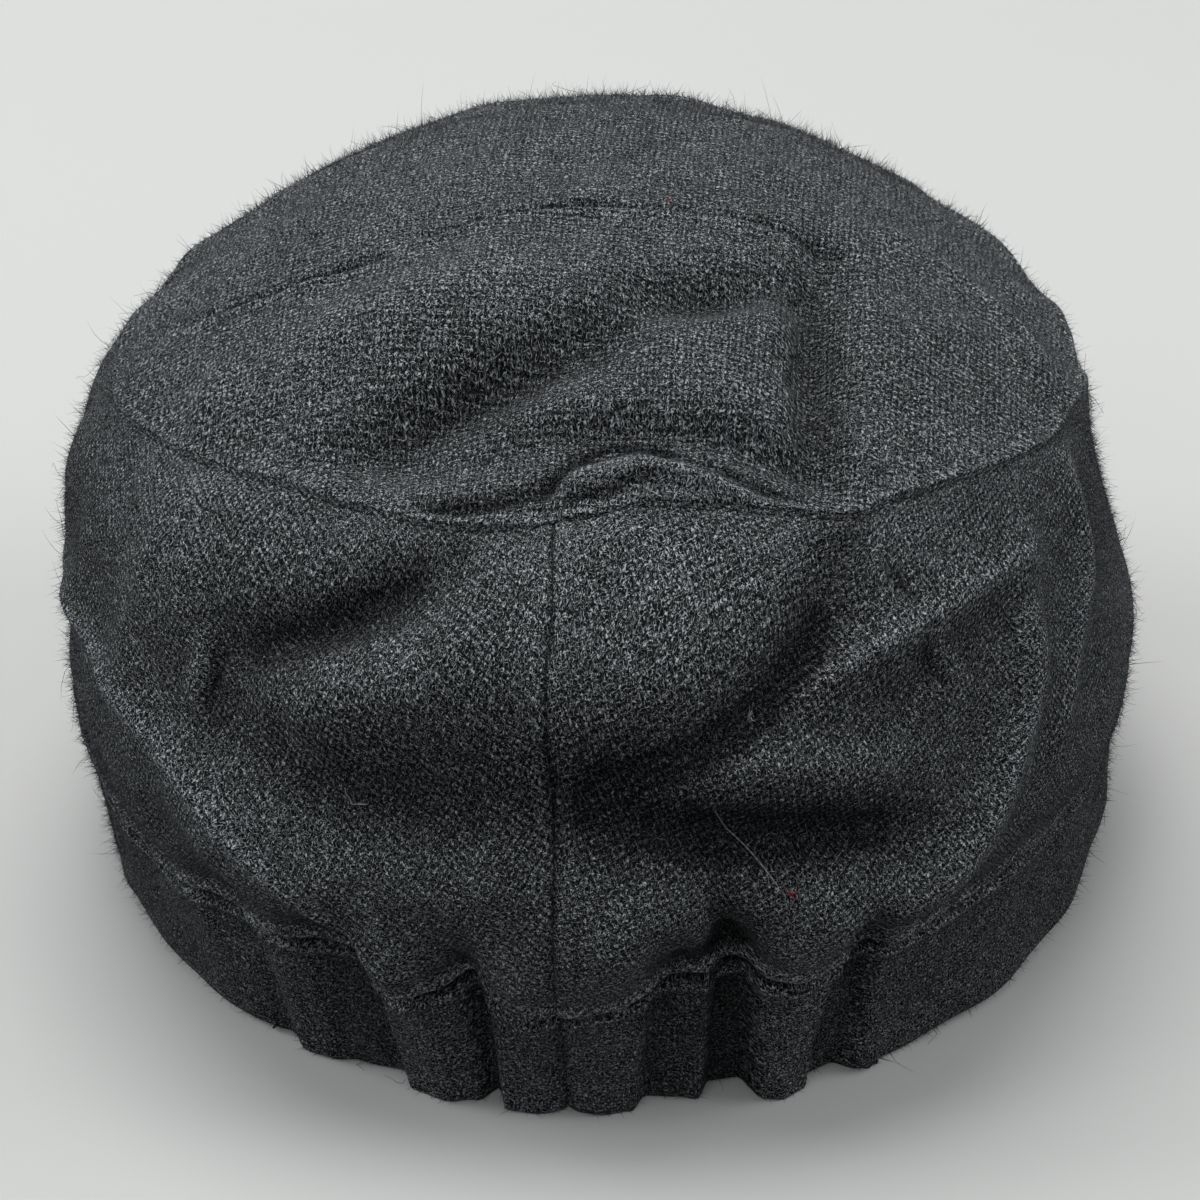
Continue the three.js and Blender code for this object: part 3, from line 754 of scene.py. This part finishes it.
def disc_faces(counts, first):
    """Faces between rings whose number of points halves now and then, down to one point."""
    quads = []
    triangles = []
    start = first
    for count, next_count in zip(counts, counts[1:]):
        here = start + np.arange(count + 1) % count
        after = start + count + np.arange(next_count + 1) % next_count
        if next_count == count:
            quads.append(np.stack([here[:-1], here[1:], after[1:], after[:-1]], axis=-1))
        elif next_count == 1:
            middle = np.full(count, start + count)
            triangles.append(np.stack([here[:-1], here[1:], middle], axis=-1))
        else:
            low, middle, high = here[:-1:2], here[1::2], here[2::2]
            left, right = after[:-1], after[1:]
            for corners in ((low, middle, left), (middle, right, left), (middle, high, right)):
                triangles.append(np.stack(corners, axis=-1))
        start += count
    return np.concatenate(quads), np.concatenate(triangles)


def disc_rings(edge_count, radii, halvings):
    """Number of points of each ring, and the angle and radius of each point down to the middle."""
    counts = [edge_count // 2 ** sum(radius < halving for halving in halvings) for radius in radii]
    counts.append(1)
    angles = np.concatenate([np.arange(count) * 360 / count for count in counts])
    return counts, angles, np.repeat([*radii, 0.0], counts)


def top_panel(material):
    edge = 1 - SEAM_GAP / 2 / TOP_SEAM[1]
    edge_radii = np.linspace(edge, TOP_EDGE_RADIUS, 12)[:-1]
    radii = np.concatenate([edge_radii, np.arange(TOP_EDGE_RADIUS, 0.012, -TOP_STEP)])
    counts, angle, radius = disc_rings(TOP_COLUMNS, radii, TOP_HALVINGS)
    outside, _, wear_and_shade, form = raised(top_cloth, angle, radius)
    inner_columns = TOP_COLUMNS // TOP_INSIDE_STEP
    inner_radii = np.linspace(edge, 0.1, 12)
    inner_counts, angle, radius = disc_rings(inner_columns, inner_radii, TOP_HALVINGS[:3])
    inner_form, inner_normal, *_ = top_cloth(angle, radius)
    inner_normal[:inner_columns] = seam_normal(angle[:inner_columns])
    inside = settle(inner_form - inner_normal * CLOTH_THICKNESS)
    quads, triangles = disc_faces(counts, 0)
    inner_quads, inner_triangles = disc_faces(inner_counts, len(outside))
    fine_edge = np.arange(TOP_COLUMNS + 1) % TOP_COLUMNS
    coarse_edge = len(outside) + np.arange(inner_columns + 1) % inner_columns
    edges = close_edge(fine_edge, np.arange(0, TOP_COLUMNS + 1, TOP_INSIDE_STEP), coarse_edge)
    points = np.concatenate([settle(outside), inside])
    faces = [quads, inner_quads[:, ::-1], triangles, inner_triangles[:, ::-1], edges]
    piece = new_object("top_panel_cloth", points, faces)
    places = form * (1, 1, 0)
    finish_cloth(piece, "top_panel", places, inner_form * (1, 1, 0), wear_and_shade, material)


def peak_depth(across):
    return PEAK_END_DEPTH + (PEAK_DEPTH - PEAK_END_DEPTH) * np.cos(np.pi / 2 * across) ** 0.7


def peak_points(across, share):
    """Top of the peak, from side to side (-1 to 1) and from its root (0) to its front edge (1)."""
    rim, normal, *_ = band_cloth(180 + PEAK_HALF_ANGLE * across, np.zeros_like(across))
    root = settle(rim - normal * BAND_THICKNESS / 2)
    root[..., 2] -= PEAK_GAP
    arch = PEAK_ARCH * np.cos(np.pi / 2 * np.minimum(np.abs(across) / PEAK_ARCH_REACH, 1))
    edge = PEAK_THICKNESS - PEAK_CONTACT + arch
    drop = (root[..., 2] - edge) * (1 - across ** PEAK_END_RISE)
    x = MIDDLE_SHIFT[0] + (root[..., 0] - MIDDLE_SHIFT[0]) * (1 + (PEAK_SPREAD - 1) * share)
    y = root[..., 1] - peak_depth(across) * share
    return np.stack([x, y, root[..., 2] - drop * share ** PEAK_FALL], axis=-1)


def peak(material):
    """The peak with its edge rounded where the wool is turned over its board."""
    across = graded_steps(-1, 1, 0.008, 0.016, 0.048)
    shares = np.concatenate([np.linspace(0, 0.9, 30)[:-1], np.linspace(0.9, 1, 14)])
    across, share = np.meshgrid(across, shares)
    top = peak_points(across, share)
    to_front = (1 - share) * peak_depth(across)
    to_side = (1 - np.abs(across)) * PEAK_HALF_ANGLE * DEGREE_LENGTH
    inset = np.clip(np.minimum(to_front, to_side) / PEAK_EDGE_ROUND, 0, 1)
    thickness = PEAK_THICKNESS * np.sqrt(1 - (1 - inset) ** 2) + 0.05
    middle = top - np.array([0, 0, PEAK_THICKNESS / 2])
    half = thickness[..., None] / 2 * np.array([0, 0, 1])
    upper = middle + half
    lower = middle - half
    lower[..., 2] = np.maximum(lower[..., 2], 0)
    rows_kept = np.arange(len(shares))
    columns_kept = np.arange(across.shape[1])
    piece = cloth_shell("peak_cloth", lower, upper, rows_kept, columns_kept, False)
    places = upper * (1, 1, 0)
    finish_cloth(piece, "peak", places, places, np.zeros(across.size), material)


# Materials

def set_inputs(node, inputs):
    """Links the inputs that are fields, and sets the others to their number or colour."""
    for name, value in inputs.items():
        if isinstance(value, Field):
            node.id_data.links.new(value.socket, node.inputs[name])
        else:
            node.inputs[name].default_value = value


def add_node(tree, kind, inputs, output=0, **settings):
    """One output of a new node."""
    node = tree.nodes.new("ShaderNode" + kind)
    for name, value in settings.items():
        setattr(node, name, value)
    set_inputs(node, inputs)
    return Field(node.outputs[output])


class Field:
    """A value that varies over a surface, with its sums and products written as in Python."""

    def __init__(self, socket):
        self.socket = socket
        self.tree = socket.id_data

    def calculate(self, operation, *others):
        return add_node(self.tree, "Math", dict(enumerate((self, *others))), operation=operation)

    def __add__(self, other):
        return self.calculate("ADD", other)

    def __sub__(self, other):
        return self.calculate("SUBTRACT", other)

    def __mul__(self, other):
        return self.calculate("MULTIPLY", other)

    def range(self, low, high, new_low=0.0, new_high=1.0):
        """This number stretched from one range to another and held inside it."""
        ends = {"From Min": low, "From Max": high, "To Min": new_low, "To Max": new_high}
        return add_node(self.tree, "MapRange", {"Value": self, **ends}, "Result")


def attribute(tree, name, output="Fac"):
    return add_node(tree, "Attribute", {}, output, attribute_name=name)


def combine(x, y):
    return add_node(x.tree, "CombineXYZ", {"X": x, "Y": y})


def noise(place, scale, detail, roughness=0.5):
    inputs = {"Vector": place, "Scale": scale, "Detail": detail, "Roughness": roughness}
    return add_node(place.tree, "TexNoise", inputs, "Fac")


def mix_colors(share, low, high):
    """A colour between two, the second of which may be a field."""
    high = high if isinstance(high, Field) else (*high, 1)
    return add_node(share.tree, "Mix", {0: share, 6: (*low, 1), 7: high}, 2, data_type="RGBA")


def bump(height, distance, strength):
    inputs = {"Height": height, "Distance": distance * MM, "Strength": strength}
    return add_node(height.tree, "Bump", inputs)


def new_material(name, color, roughness, specular=0.1):
    material = bpy.data.materials.new(name)
    material.use_nodes = True
    shader = material.node_tree.nodes["Principled BSDF"]
    set_inputs(shader, {"Base Color": (*color, 1), "Roughness": roughness, "Specular IOR Level": specular})
    return material, shader


def weave(column, row):
    """Height of a plain weave, whose round threads go over and under from one crossing to the
    next, and how far the warp is on top of the weft."""
    warp_round = (column * math.pi).calculate("SINE").calculate("ABSOLUTE")
    weft_round = (row * math.pi).calculate("SINE").calculate("ABSOLUTE")
    warp_over = ((row + column.calculate("FLOOR")) * math.pi).calculate("SINE")
    weft_over = ((column + row.calculate("FLOOR")) * math.pi).calculate("SINE")
    warp = warp_round * 0.5 + warp_over * 0.5
    weft = weft_round * 0.5 - weft_over * 0.5
    return warp.calculate("MAXIMUM", weft), (warp - weft).range(-0.15, 0.15)


def strokes(across, up):
    """Thin bright lines where a noise passes its middle value."""
    field = noise(combine(across, up), 1.0, 0)
    return ((field - 0.5).calculate("ABSOLUTE") * -STROKE_SHARPNESS + 1.0).calculate("MAXIMUM", 0.0)


def astray(place, scale, most):
    """A slow wander to both sides."""
    return noise(place, scale[0], scale[1]).range(0, 1, -most, most)


def fibre_glints(place, turned_place, across, up, warp_on_top):
    """Fibres that lie mostly along whichever thread is on top, and curl out of it, as thin lines of
    painted glint.
    """
    across = across + astray(place, FIBRE_WAVES, FIBRE_CURL)
    up = up + astray(turned_place, FIBRE_WAVES, FIBRE_CURL)
    along_warp = strokes(across * STROKES_ACROSS, up * STROKES_ALONG)
    along_weft = strokes(across * STROKES_ALONG, up * STROKES_ACROSS)
    fibres = along_weft + (along_warp - along_weft) * (warp_on_top * 0.7 + 0.15)
    return fibres * noise(place, 2.0, 2, 0.7).range(0.35, 0.65, 0.1, 2.2)


def wool(name, brightness, nap_low, nap_high):
    """Black fulled wool: a plain weave half hidden under curved fibres, whose glints are painted
    into its colour as thin pale strokes over near-black gaps. Nap covers the weave in slow patches,
    between nap_low and nap_high. Painted shade makes it darker in grooves, hollows and on the wall
    below the top, and crests are paler, partly from rubbed wear and partly as painted light."""
    material, shader = new_material(name, (0.02, 0.022, 0.025), 0.92, 0.03)
    tree = material.node_tree
    place = attribute(tree, "cloth", "Vector")
    across, up = (add_node(tree, "SeparateXYZ", {"Vector": place}, axis) for axis in "XY")
    turned_place = combine(up, across)
    column = across * (1 / WARP_PITCH) + astray(place, THREAD_WAVES, THREAD_WANDER)
    row = up * (1 / WEFT_PITCH) + astray(turned_place, THREAD_WAVES, THREAD_WANDER)
    height, warp_on_top = weave(column, row)
    fibres = fibre_glints(place, turned_place, across, up, warp_on_top)
    cover = noise(place, 0.045, 3, 0.6).range(0.35, 0.65, nap_low, nap_high)
    ground = height + (height * -1.0 + 0.75) * cover
    # Painted shade darkens grooves, hollows and the wall below the top; crests are paler, partly from
    # rubbed wear and partly as painted light
    bright = attribute(tree, "wear_and_shade").range(-1, 1, brightness * 0.2, brightness * 1.8)
    # Painted glints: the fibres' strokes are pale colour standing in for light caught on the fibres
    light = (fibres * ground.range(0.3, 0.95, 0.05, 1.4) + ground * 0.015) * bright
    set_inputs(shader, {
        "Base Color": mix_colors(light.range(0.0, 1.2), WOOL_DARK, WOOL_GLINT),
        "Roughness": light.range(0, 1, 1.0, 0.82),
        "Normal": bump(ground * 0.7 + light * 0.5, 0.25, 0.6),
        "Sheen Weight": 0.045,
        "Sheen Roughness": 0.28,
        "Sheen Tint": (0.68, 0.7, 0.74, 1),
    })
    return material


def fibre_material(name, dark, pale):
    """Loose fibres: each has its own tone between the dark and the pale colour."""
    material, shader = new_material(name, pale, 0.7)
    paleness = attribute(material.node_tree, "paleness")
    set_inputs(shader, {"Base Color": mix_colors(paleness, dark, pale)})
    return material


def thread_material(name, color):
    """Twisted thread: its plies run round it as fine slanted stripes."""
    material, shader = new_material(name, color, 0.6)
    place = add_node(material.node_tree, "TexCoord", {}, "Object")
    inputs = {"Vector": place, "Scale": 900, "Distortion": 2.0}
    bands = {"wave_type": "BANDS", "bands_direction": "DIAGONAL"}
    plies = add_node(place.tree, "TexWave", inputs, "Fac", **bands)
    darker = tuple(part * 0.45 for part in color)
    set_inputs(shader, {"Base Color": mix_colors(plies, darker, color), "Normal": bump(plies, 0.1, 0.6)})
    return material


def floor_material():
    """Pale matt paper, faintly uneven in tone, that throws little light back up at the cap."""
    material, shader = new_material("pale_floor", (0.76, 0.765, 0.76), 0.85)
    place = add_node(material.node_tree, "TexCoord", {}, "Object")
    pale = mix_colors(noise(place, 1.3, 3), (0.57, 0.575, 0.565), (0.62, 0.625, 0.615))
    seen = add_node(place.tree, "LightPath", {}, "Is Camera Ray")
    set_inputs(shader, {"Base Color": mix_colors(seen, (0.15, 0.15, 0.15), pale)})
    return material


# Fibres, threads and lint

def perpendicular(directions):
    helper = np.where(np.abs(directions[..., 2:]) < 0.9, (0.0, 0.0, 1.0), (1.0, 0.0, 0.0))
    first = unit(np.cross(directions, helper))
    return first, unit(np.cross(directions, first))


def spikes(centres, radii):
    """Closed three-sided hairs. centres holds each hair's points from root to tip, and radii
    its thickness at all of them but the tip."""
    hairs, steps = centres.shape[:2]
    first, second = perpendicular(unit(centres[:, -1] - centres[:, 0]))
    turns = np.arange(3) * 2 * np.pi / 3
    ring = first[:, None] * np.cos(turns)[:, None] + second[:, None] * np.sin(turns)[:, None]
    rings = centres[:, :-1, None] + ring[:, None] * radii[:, :, None, None]
    points = np.concatenate([rings.reshape(hairs, -1, 3), centres[:, -1:]], axis=1).reshape(-1, 3)
    tip = 3 * (steps - 1)
    quads = []
    for low in range(0, tip - 3, 3):
        for side, after in ((0, 1), (1, 2), (2, 0)):
            quads.append((low + side, low + after, low + 3 + after, low + 3 + side))
    triangles = [(tip - 3, tip - 2, tip), (tip - 2, tip - 1, tip), (tip - 1, tip - 3, tip), (2, 1, 0)]
    starts = np.arange(hairs)[:, None, None] * (tip + 1)
    groups = [starts + np.array(group) for group in (quads, triangles) if group]
    return points, [group.reshape(-1, group.shape[2]) for group in groups]


def random_places(name, count):
    """Random places all over the outside of a cloth, with their outward directions."""
    cloth, lowest, highest, power = {
        "top": (top_cloth, 0, 0.99, 0.5),
        "wall": (wall_cloth, 0.005, 0.995, 1),
        "band": (band_cloth, 0.01, 0.985, 1),
    }[name]
    angle = random.uniform(-180, 180, count)
    return raised(cloth, angle, random.uniform(lowest, highest, count) ** power)[:2]


def fuzz(name, places, kind, scale, material):
    """Fibres that stand or lie on the cloth, of one kind and with that scale of length."""
    roots, normals = places
    count = len(roots)
    roots = settle(roots)
    first, second = perpendicular(normals)
    turn = random.uniform(0, 2 * np.pi, count)
    lying = along(first, np.cos(turn)) + along(second, np.sin(turn))
    steep = random.uniform(*kind.standing, count)
    directions = unit(lying + along(normals, np.tan(steep)))
    bends = unit(random.normal(size=(count, 3))) * 0.7 - normals * 0.3
    length = random.gamma(kind.shape, scale, count)[:, None, None]
    share = np.linspace(0, 1, kind.steps + 1)[None, :, None]
    sunk = roots[:, None] - normals[:, None] * ROOT_DEPTH
    centres = sunk + directions[:, None] * length * share
    centres = centres + bends[:, None] * length * kind.curl * share ** 2
    centres[..., 2] = np.maximum(centres[..., 2], LOWEST_FIBRE)
    taper = np.linspace(1, 0.7, kind.steps)[None]
    points, groups = spikes(centres, kind.radius * random.uniform(0.6, 1.2, (count, 1)) * taper)
    piece = new_object(name, points, groups)
    paleness = random.beta(1.2, 3.2, count)
    give_attribute(piece, "paleness", "FLOAT", np.repeat(paleness, len(points) // count))
    dress(piece, material)


def tubes(name, centres, radii, sides, material):
    """Closed tubes as one mesh. centres has a row of points for each tube, and radii the
    thickness at each point of a row."""
    count, steps = centres.shape[:2]
    directions = unit(np.gradient(centres, axis=1))
    first = unit(np.cross(directions, SIDEWAYS))
    second = np.cross(directions, first)
    turns = np.arange(sides)[:, None] * 2 * np.pi / sides
    ring = first[:, :, None] * np.cos(turns) + second[:, :, None] * np.sin(turns)
    points = centres[:, :, None] + ring * radii[..., None, None]
    index = np.arange(count * steps * sides).reshape(count, steps, sides)
    around = np.concatenate([index, index[:, :, :1]], axis=2)
    ends = np.concatenate([index[:, 0, ::-1], index[:, -1]])
    piece = new_object(name, points.reshape(-1, 3), [grid_quads(around), ends])
    dress(piece, material)
    return piece


def top_seam_stitches(material):
    """Stitches under the roll of the top seam, each sunk into the wall's cloth at its ends."""
    count = int(360 * DEGREE_LENGTH / STITCH_PITCH)
    middles = np.arange(count) * STITCH_PITCH / DEGREE_LENGTH - 180
    lengths = STITCH_LENGTH * random.uniform(0.8, 1.1, count)
    share = np.linspace(-0.5, 0.5, 5)
    angles = middles[:, None] + lengths[:, None] * share / DEGREE_LENGTH
    depths = STITCH_DEPTH + random.uniform(-0.15, 0.15, (count, 1))
    depths = depths + share * random.uniform(-0.3, 0.3, (count, 1))
    places, normals, *_ = raised(wall_cloth, angles, 1 - depths / WALL_HEIGHT)
    lift = STITCH_RADIUS * (1 - 10 * share ** 2)
    centres = settle(places + along(normals, np.broadcast_to(lift, angles.shape)))
    radii = STITCH_RADIUS * np.array([[0.5, 1, 1, 1, 0.5]])
    tubes("top_seam_stitches", centres, np.repeat(radii, count, axis=0), 5, material)


def loose_threads(name, cloth, threads, radius, material):
    """Threads that lie on a cloth, each a smooth line through its places."""
    steps = 24
    t = np.linspace(0, 1, steps)
    even = np.ones(7) / 7
    rows = []
    for places in threads:
        knots = np.linspace(0, 1, len(places))
        lines = [np.pad(np.interp(t, knots, values), 3, mode="edge") for values in zip(*places)]
        lines = [np.convolve(line, even, mode="valid") for line in lines]
        points, normals, *_ = raised(cloth, *lines)
        lift = radius + 0.5 * np.sin(t * 9 + len(places)) ** 2
        rows.append(settle(points + along(normals, lift)))
    radii = np.full((len(rows), steps), radius)
    radii[:, [0, -1]] = radius / 3
    tubes(name, np.array(rows), radii, 5, material)


def curly_hairs(name, places, lengths, material):
    """Long fine hairs that lie on the cloth in loops and hooks."""
    roots, normals = places
    count = len(roots)
    steps = 12
    first, second = perpendicular(normals)
    heading = random.uniform(0, 2 * np.pi, (count, 1))
    bend = random.normal(0, 2.4, (count, 1))
    share = np.linspace(0, 1, steps)[None]
    direction = heading + bend * share + 0.7 * np.sin(share * random.uniform(4, 11, (count, 1)))
    length = random.uniform(*lengths, (count, 1))
    step = length / steps
    forward = np.cumsum(np.cos(direction) * step, axis=1)
    sideways = np.cumsum(np.sin(direction) * step, axis=1)
    height = 0.25 + length * random.uniform(0.02, 0.3, (count, 1)) * share ** 1.5
    centres = settle(roots)[:, None] + along(first[:, None], forward)
    centres = centres + along(second[:, None], sideways) + along(normals[:, None], height)
    centres[..., 2] = np.maximum(centres[..., 2], LOWEST_CURL)
    radii = np.repeat(CURL_RADIUS * np.linspace(1, 0.5, steps)[None], count, axis=0)
    piece = tubes(name, centres, radii, 3, material)
    paleness = random.uniform(0.1, 0.9, count)
    give_attribute(piece, "paleness", "FLOAT", np.repeat(paleness, steps * 3))


def lint(name, spots, material):
    """Small tufts of foreign fibre caught in the nap."""
    roots = []
    normals = []
    for cloth, across, up in spots:
        points, outward, *_ = raised(cloth, np.full(LINT_FIBRES, across), np.full(LINT_FIBRES, up))
        roots.append(points + random.normal(0, 0.25, points.shape))
        normals.append(outward)
    fuzz(name, (np.concatenate(roots), np.concatenate(normals)), LINT, LINT_SCALE, material)


# Light, floor and camera

def floor():
    corners = np.array([[-1, -1], [1, -1], [1, 1], [-1, 1]]) * FLOOR_HALF
    made = new_object("floor", np.insert(corners, 2, -FLOOR_DROP, axis=1), [[[0, 1, 2, 3]]])
    made.data.materials.append(floor_material())


def lights():
    world = bpy.data.worlds.new("soft_room")
    world.use_nodes = True
    bpy.context.scene.world = world
    background = world.node_tree.nodes["Background"]
    set_inputs(background, {"Color": (0.97, 0.985, 1.0, 1), "Strength": ROOM_LIGHT})
    for lamp in LAMPS:
        data = bpy.data.lights.new(lamp.name, "AREA")
        data.shape = "DISK"
        data.size = lamp.size
        data.energy = lamp.watts
        data.color = lamp.color
        made = bpy.data.objects.new(lamp.name, data)
        made.location = lamp.place
        way = Vector(LAMP_TARGET) - Vector(lamp.place)
        made.rotation_mode = "QUATERNION"
        made.rotation_quaternion = way.to_track_quat("-Z", "Y")
        bpy.context.scene.collection.objects.link(made)


def camera():
    data = bpy.data.cameras.new("photo_camera")
    data.lens = CAMERA_LENS
    data.sensor_width = CAMERA_SENSOR
    made = bpy.data.objects.new("photo_camera", data)
    forward = Vector(CAMERA_RAY).normalized()
    right = forward.cross(Vector(CAMERA_UP)).normalized()
    up = right.cross(forward)
    turn = Matrix((right, up, -forward)).transposed().to_4x4()
    made.matrix_world = Matrix.Translation(Vector(CAMERA_PLACE) * MM) @ turn
    data.clip_start = 0.01
    data.clip_end = 100
    bpy.context.scene.collection.objects.link(made)
    bpy.context.scene.camera = made


def top_spot(x, y):
    """A place on the top as the angle and radius that top_cloth takes."""
    _, back, front, *_, shift = TOP_SEAM
    angles = np.linspace(-180, 180, 721)
    edge = level_point(TOP_SEAM, angles)
    middle = np.array([shift, (back - front) / 2])
    ways = edge[:, :2] - middle
    aim = np.array([x, y]) - middle
    turned = ways[:, 0] * aim[1] - ways[:, 1] * aim[0]
    ahead = ways @ aim > 0
    nearest = np.argmin(np.where(ahead, np.abs(turned), np.inf))
    return top_cloth, angles[nearest], np.linalg.norm(aim) / np.linalg.norm(ways[nearest])


def build():
    camera()
    lights()
    floor()
    crown_wool = wool("black_fulled_wool", 1.14, 0.1, 0.55)
    top_panel(crown_wool)
    for panel in PANELS:
        wall_panel(panel, crown_wool)
    band(wool("black_napped_wool", 0.55, 0.6, 0.9))
    peak(crown_wool)
    fibre = fibre_material("wool_fibre", (0.005, 0.0055, 0.006), (0.18, 0.19, 0.2))
    for cloth, count, scale in NAPS:
        fuzz(cloth + "_nap", random_places(cloth, count), NAP, scale, fibre)
    for cloth, count, scale in HAIRS:
        fuzz(cloth + "_hairs", random_places(cloth, count), HAIR, scale, fibre)
    for cloth, count, lengths in CURLS:
        curly_hairs(cloth + "_curls", random_places(cloth, count), lengths, fibre)
    top_seam_stitches(thread_material("black_thread", (0.02, 0.02, 0.022)))
    pale_thread = thread_material("pale_thread", (0.3, 0.31, 0.32))
    loose_threads("pale_threads", wall_cloth, PALE_THREADS, PALE_THREAD_RADIUS, pale_thread)
    dark_thread = thread_material("dark_thread", (0.02, 0.02, 0.022))
    loose_threads("dark_threads", band_cloth, DARK_THREADS, DARK_THREAD_RADIUS, dark_thread)
    red = fibre_material("red_lint", (0.25, 0.01, 0.02), (0.5, 0.05, 0.07))
    lint("red_specks", [top_spot(-10, -4), (wall_cloth, 23, 0.34), (band_cloth, -5, 0.02)], red)
    pale = fibre_material("pale_lint", (0.35, 0.36, 0.36), (0.8, 0.8, 0.78))
    spots = [top_spot(-11, 58), top_spot(-44, 26), top_spot(49, 31)]
    spots += [(wall_cloth, *place) for place in ((6, 0.68), (21, 0.67), (-50, 0.62))]
    lint("pale_specks", spots, pale)


build()
scene_view = bpy.context.scene.view_settings
scene_view.view_transform = "Standard"
